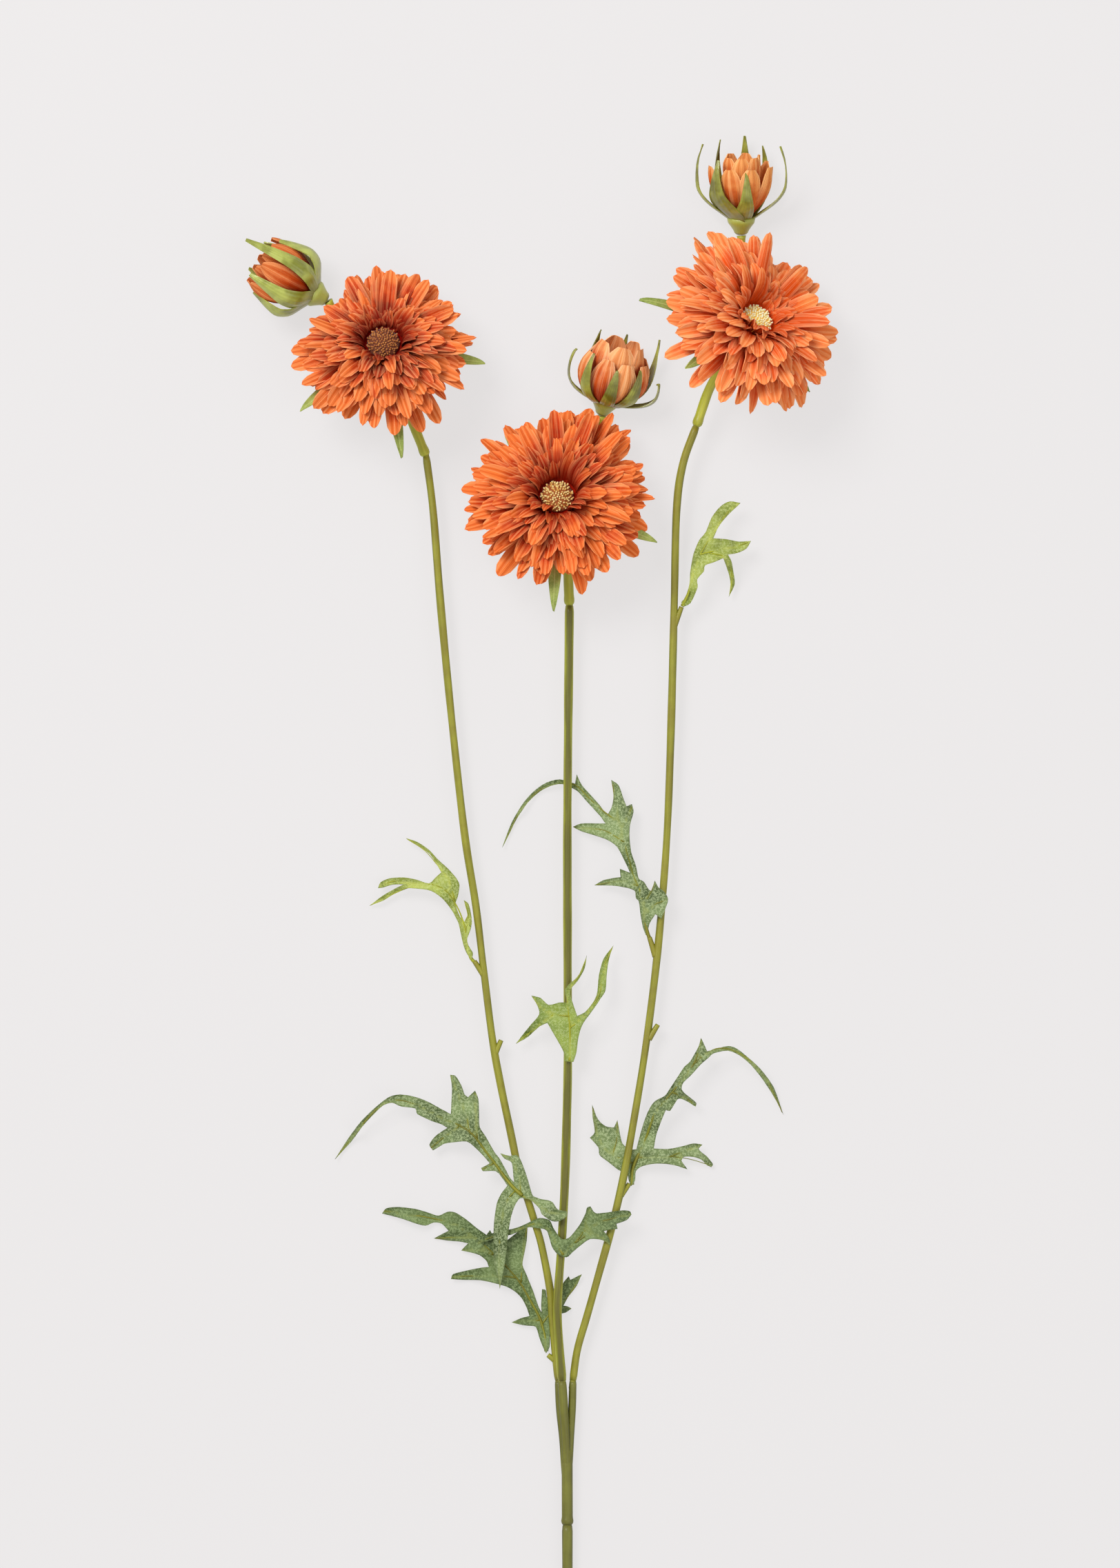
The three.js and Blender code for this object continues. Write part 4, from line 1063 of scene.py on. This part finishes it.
# For each leaf: its cloth, its foot's radius, then its main rib and its side ribs.
LEAVES = {
    "upper_right": ("light", 1.1, [
        [(50, 498.6), (53, 505), (55, 513.5), (58, 521), (61.5, 527), (66, 534), (70.5, 540),
         (74.5, 543)],
        [(58, 521), (66, 522.8), (73, 524.2), (79, 526.3)],
        [(62, 521.5), (69, 519.5), (71.8, 512), (71, 504)],
    ]),
    "upper_left": ("light", 1.1, [
        [(-39.6, 342.8), (-42, 345.4), (-44, 352), (-44.4, 358), (-47, 366), (-51.5, 373.5), (-57, 377),
         (-65, 377.6), (-75, 378.8), (-81.4, 376.8)],
        [(-49, 371), (-51.5, 380), (-56.5, 386), (-62, 392.2), (-69.4, 397)],
        [(-60, 377), (-68, 376.2), (-76, 373), (-85.4, 368.4)],
        [(-44.2, 357), (-43, 363), (-44.4, 369.4)],
    ]),
    "middle_right": ("grey", 1.2, [
        [(36.2, 352.6), (35, 356), (33.8, 362), (33, 368), (32, 374), (29, 381), (27, 388), (24.8, 396),
         (23, 403), (21.4, 411), (19.8, 421)],
        [(33.6, 364), (38, 368.5), (42.6, 370.5)],
        [(33, 369), (36, 373), (38.1, 378)],
        [(31, 376.6), (26, 378.4), (20, 378.4), (13, 377.2)],
        [(24.5, 396), (17, 400.6), (10, 401.8), (3.6, 402.3)],
        [(23, 401), (26, 405.6), (28.2, 411)],
        [(21.4, 405), (15, 410), (9, 415.6), (4, 420.4), (-3, 421.8), (-12, 418.4), (-20, 410),
         (-27.4, 395)],
    ]),
    "middle": ("mid", 1.3, [
        [(1, 300.8), (1.2, 308), (1.2, 315), (0.6, 322), (0, 328), (0.8, 332), (5, 337.4), (8.3, 345)],
        [(1.2, 315), (8, 320.6), (12.6, 326.6), (15.1, 333), (16.4, 342), (19.8, 350)],
        [(0.8, 320), (-6, 321.2), (-11, 323.4), (-15, 328.4)],
        [(-6, 320.6), (-11, 317.2), (-15.6, 313.4), (-21.6, 308.6)],
    ]),
    "lower_right": ("grey", 1.3, [
        [(28, 246.6), (28.3, 253), (30.6, 259), (33.6, 265), (36, 272), (38.6, 278.6), (43.6, 284.6),
         (49, 291), (55, 299), (60, 303.5), (66, 306.2), (73, 305), (80, 300.4), (87, 292.4),
         (93.8, 278)],
        [(30, 258.5), (38, 259), (46, 258.9), (54, 257.6), (62.6, 254.9)],
        [(45, 259), (52, 261.6), (58.4, 263.6)],
        [(46, 287), (51.5, 284.6), (55.8, 281.4)],
        [(28.4, 256), (22, 258.6), (16.6, 261.8), (13.2, 268), (11.2, 280)],
        [(20, 260), (21.6, 266), (22, 273.8)],
        [(55, 299), (57, 304), (58.2, 309.6)],
    ]),
    "lower_left": ("grey", 1.3, [
        [(-19.6, 242), (-23, 245), (-27, 249.8), (-31, 255.4), (-36, 262), (-41, 268.6), (-47, 272.6),
         (-55, 276), (-64, 281), (-72, 283.4), (-79, 282.6), (-86, 276.4), (-94, 266.6), (-100.4, 258.4)],
        [(-42, 269), (-44.4, 279), (-48, 287.6), (-50.4, 293.8)],
        [(-39, 267), (-39.6, 277), (-40, 286.6)],
        [(-47, 272), (-52, 268.6), (-59.2, 262.6)],
        [(-32, 256), (-34.6, 254.4), (-37, 253.4)],
        [(-19.6, 242), (-14, 239.4), (-8, 235), (-1, 233.4)],
        [(-20, 243), (-20.8, 250), (-23.4, 257.4), (-28.4, 260.2)],
        [(-22.6, 244), (-26.6, 239), (-28.8, 230), (-29.2, 218), (-29.2, 202.6)],
    ]),
    "lowest": ("dark", 1.2, [
        [(-9.2, 174), (-9.9, 181), (-12, 188.5), (-16, 196), (-20.6, 204), (-26.5, 211), (-33, 217.5),
         (-40, 223.6), (-48, 229), (-56, 231.4), (-66, 233.2), (-79.6, 235)],
        [(-41, 223.6), (-50, 223.6), (-57.2, 223)],
        [(-32, 216), (-39, 218.6), (-45.4, 218.2)],
        [(-22, 206), (-33, 207.2), (-42, 206.8), (-50, 206.3)],
        [(-20, 204), (-19.4, 214), (-18.4, 222), (-17.4, 228)],
        [(-10.8, 186), (-6, 192), (-1, 196), (3, 201.4), (6.2, 207)],
        [(-5, 192.4), (1.6, 192.6)],
        [(-12, 187.4), (-17, 186.8), (-23.4, 186.5)],
    ]),
    "low_middle": ("dark", 1.2, [
        [(-1.8, 216.2), (-4.6, 221), (-8, 227.4), (-13, 230), (-20, 227.6), (-28, 225.4), (-37.8, 222)],
        [(-1.6, 217), (3.4, 221.6), (7.4, 227), (9.6, 236)],
        [(3.4, 221.6), (10, 225.4), (15.4, 224), (18.3, 221)],
        [(6.6, 226), (14, 230.4), (21, 232.4), (27.4, 234)],
    ]),
}


def leaf_rim(node):
    """The corners round a CAD leaf's upper face, in order."""
    copy = bmesh.new()
    copy.from_mesh(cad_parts[node].data)
    bmesh.ops.remove_doubles(copy, verts=copy.verts, dist=1e-5)
    bmesh.ops.transform(copy, matrix=TO_FRAME.inverted(), verts=copy.verts)
    copy.normal_update()
    under = [face for face in copy.faces if face.normal.z < 0.004]
    bmesh.ops.delete(copy, geom=under, context="FACES")
    edge = next(edge for edge in copy.edges if edge.is_boundary)
    start, corner = edge.verts
    rim = [start.co.copy()]
    while corner != start:
        rim.append(corner.co.copy())
        edge = next(other for other in corner.link_edges if other.is_boundary and other != edge)
        corner = edge.other_vert(corner)
    copy.free()
    return rim


SHARP_BEND = 1.2
RIM_PULL = 0.42
RIM_STEPS = 3


def smooth_rim(rim):
    """A smooth outline through the rim, which keeps its tips sharp."""
    count = len(rim)
    flat = [point.xy for point in rim]
    lean = []
    for i, point in enumerate(flat):
        before, after = point - flat[i - 1], flat[(i + 1) % count] - point
        bend = abs(before.angle(after))
        across = flat[(i + 1) % count] - flat[i - 1]
        lean.append(Vector((0, 0)) if bend > SHARP_BEND else RIM_PULL * across)
    outline = []
    for i, point in enumerate(flat):
        after = flat[(i + 1) % count]
        gap = (after - point).length
        pulls = [
            pull * min(1, gap / pull.length) if pull.length else after - point
            for pull in (lean[i], lean[(i + 1) % count])
        ]
        for step in range(RIM_STEPS):
            t = step / RIM_STEPS
            stay = 2 * t ** 3 - 3 * t ** 2 + 1
            outline.append(
                stay * point + (1 - stay) * after
                + (t ** 3 - 2 * t ** 2 + t) * pulls[0] + (t ** 3 - t ** 2) * pulls[1]
            )
    return outline


def height_near(rim, x, y):
    """The height of the CAD leaf's sheet near a place."""
    total = weights = 0.0
    for point in rim:
        weight = 1 / ((x - point.x) ** 2 + (y - point.y) ** 2 + 2) ** 2
        total += weight * point.z
        weights += weight
    return total / weights - 0.4


def distance_to(line, spot):
    """How far a flat place is from a line of flat points."""
    best = 1e9
    for start, end in zip(line, line[1:]):
        span = end - start
        share = min(1, max(0, (spot - start).dot(span) / span.length_squared))
        best = min(best, (start + share * span - spot).length)
    return best


def cut_sheet(outline):
    """A flat sheet inside an outline, cut into cells so that it can bend."""
    sheet = start_piece()
    corners = [sheet.verts.new((x, y, 0)) for x, y in outline]
    hem = [sheet.edges.new(pair) for pair in zip(corners, corners[1:] + corners[:1])]
    bmesh.ops.triangle_fill(sheet, edges=hem, use_beauty=True)
    for axis, across in enumerate([Vector((1, 0, 0)), Vector((0, 1, 0))]):
        cut = min(point[axis] for point in outline) + FIRST_CELL
        far = max(point[axis] for point in outline)
        while cut < far:
            everything = sheet.verts[:] + sheet.edges[:] + sheet.faces[:]
            bmesh.ops.bisect_plane(
                sheet, geom=everything, dist=1e-4, plane_co=across * cut, plane_no=across
            )
            cut += CELL
    return sheet


def rib_radius(width):
    """A rib that thins quickly from its foot to a fine tip."""
    def radius(distance, length, angle):
        fall = (width - RIB_TIP) * math.exp(-4.2 * distance / length)
        return RIB_TIP + fall * (0.75 + 0.25 * math.cos(angle))
    return radius


FIRST_CELL = 0.9
CELL = 1.9
LOWEST_CLOTH = 0.5
LOWEST_RIB = 0.8
RIB_ABOVE_CLOTH = 0.12
SIDE_RIB_WIDTH = 0.42
RIB_TIP = 0.16
rng = random.Random(71)
for name, (cloth, foot_width, ribs) in LEAVES.items():
    finish, slot = LEAF_CLOTHS[cloth]
    rim = leaf_rim(f"leaf_{name}")
    outline = smooth_rim(rim)
    lines = [[Vector(point) for point in line] for line in ribs]
    closed = outline + outline[:1]
    work = cut_sheet(outline)
    grain = work.verts.layers.float_vector["grain"]
    wave = rng.uniform(0, 6)
    for corner in work.verts:
        spot = corner.co.xy
        away = min(distance_to(line, spot) for line in lines)
        edge = distance_to(closed, spot)
        trough = 0.5 * min(away, 2.2)
        curl = 0.35 * max(0, 1 - edge) * math.sin(spot.x / 2.3 + wave)
        ripple = 0.6 * math.sin(spot.x / 3.1 + spot.y / 4.3 + wave)
        height = height_near(rim, spot.x, spot.y) + (trough - curl) + ripple
        corner[grain] = (away, edge, math.sin(spot.x / 9 + spot.y / 7 + wave) * 0.5 + 0.5)
        corner.co.z = max(height, LOWEST_CLOTH)
    finish_piece(work, f"cloth_leaf_{name}", finish, slot, [f"leaf_{name}"], thickness=0.35)
    work = start_piece()
    for number, line in enumerate(lines):
        width = foot_width if number == 0 else SIDE_RIB_WIDTH
        route = [
            (x, y, max(height_near(rim, x, y) + RIB_ABOVE_CLOTH, LOWEST_RIB)) for x, y in line
        ]
        add_rod(work, route, rib_radius(width), spacing=1.6, sides=8, seed=17 * number)
    rib_finish = NECK_GREEN if slot == "leaf_light" else GREEN_OLIVE
    finish_piece(work, f"leaf_rib_{name}", rib_finish, slot, [f"leaf_{name}"])

# ---- Floor, light and camera ----
# The spray lies on a plain pale board. The light is soft, from two panels and the room, and the
# camera looks straight down.

finish, place, _ = new_finish("pale_board")
cloud = place.noise(6, 2)
coat_with(finish, {
    "Base Color": cloud.tint("646262", "676565"), "Roughness": 0.95, "Specular IOR Level": 0.0,
    "Emission Color": linear("eeecec"), "Emission Strength": 0.8,
})
BOARD_DROP = 0.0006
work = bmesh.new()
bmesh.ops.create_grid(work, x_segments=1, y_segments=1, size=4)
bmesh.ops.translate(work, verts=work.verts, vec=(0, 0, -BOARD_DROP))
board = link_mesh(work, "pale_board", finish)

world = bpy.data.worlds.new("soft_room")
world.use_nodes = True
sky = world.node_tree.nodes["Background"].inputs
sky["Color"].default_value = (1.0, 0.99, 0.985, 1)
sky["Strength"].default_value = 0.55
bpy.context.scene.world = world

for name, place, size, power in [
    ("key_panel", (-1.1, 1.3, 2.2), 1.2, 56),
    ("fill_panel", (1.5, -0.6, 2.4), 1.8, 14),
]:
    lamp = bpy.data.lights.new(name, "AREA")
    lamp.size = size
    lamp.energy = power
    panel = bpy.data.objects.new(name, lamp)
    panel.location = place
    panel.rotation_euler = (-Vector(place)).to_track_quat("-Z", "Y").to_euler()
    bpy.context.scene.collection.objects.link(panel)

VIEW_CENTRE = TO_FRAME @ Vector((-3.0, 421.1, 8))
VIEW_HEIGHT = 0.6822
CAMERA_DISTANCE = 4.8
SENSOR_HEIGHT = 36
lens = bpy.data.cameras.new("camera")
lens.sensor_fit = "VERTICAL"
lens.sensor_height = SENSOR_HEIGHT
lens.lens = SENSOR_HEIGHT * CAMERA_DISTANCE / VIEW_HEIGHT
lens.clip_end = 20
camera = bpy.data.objects.new("camera", lens)
camera.location = VIEW_CENTRE + Vector((0, 0, CAMERA_DISTANCE))
bpy.context.scene.collection.objects.link(camera)
bpy.context.scene.camera = camera
bpy.context.scene.view_settings.view_transform = "Standard"
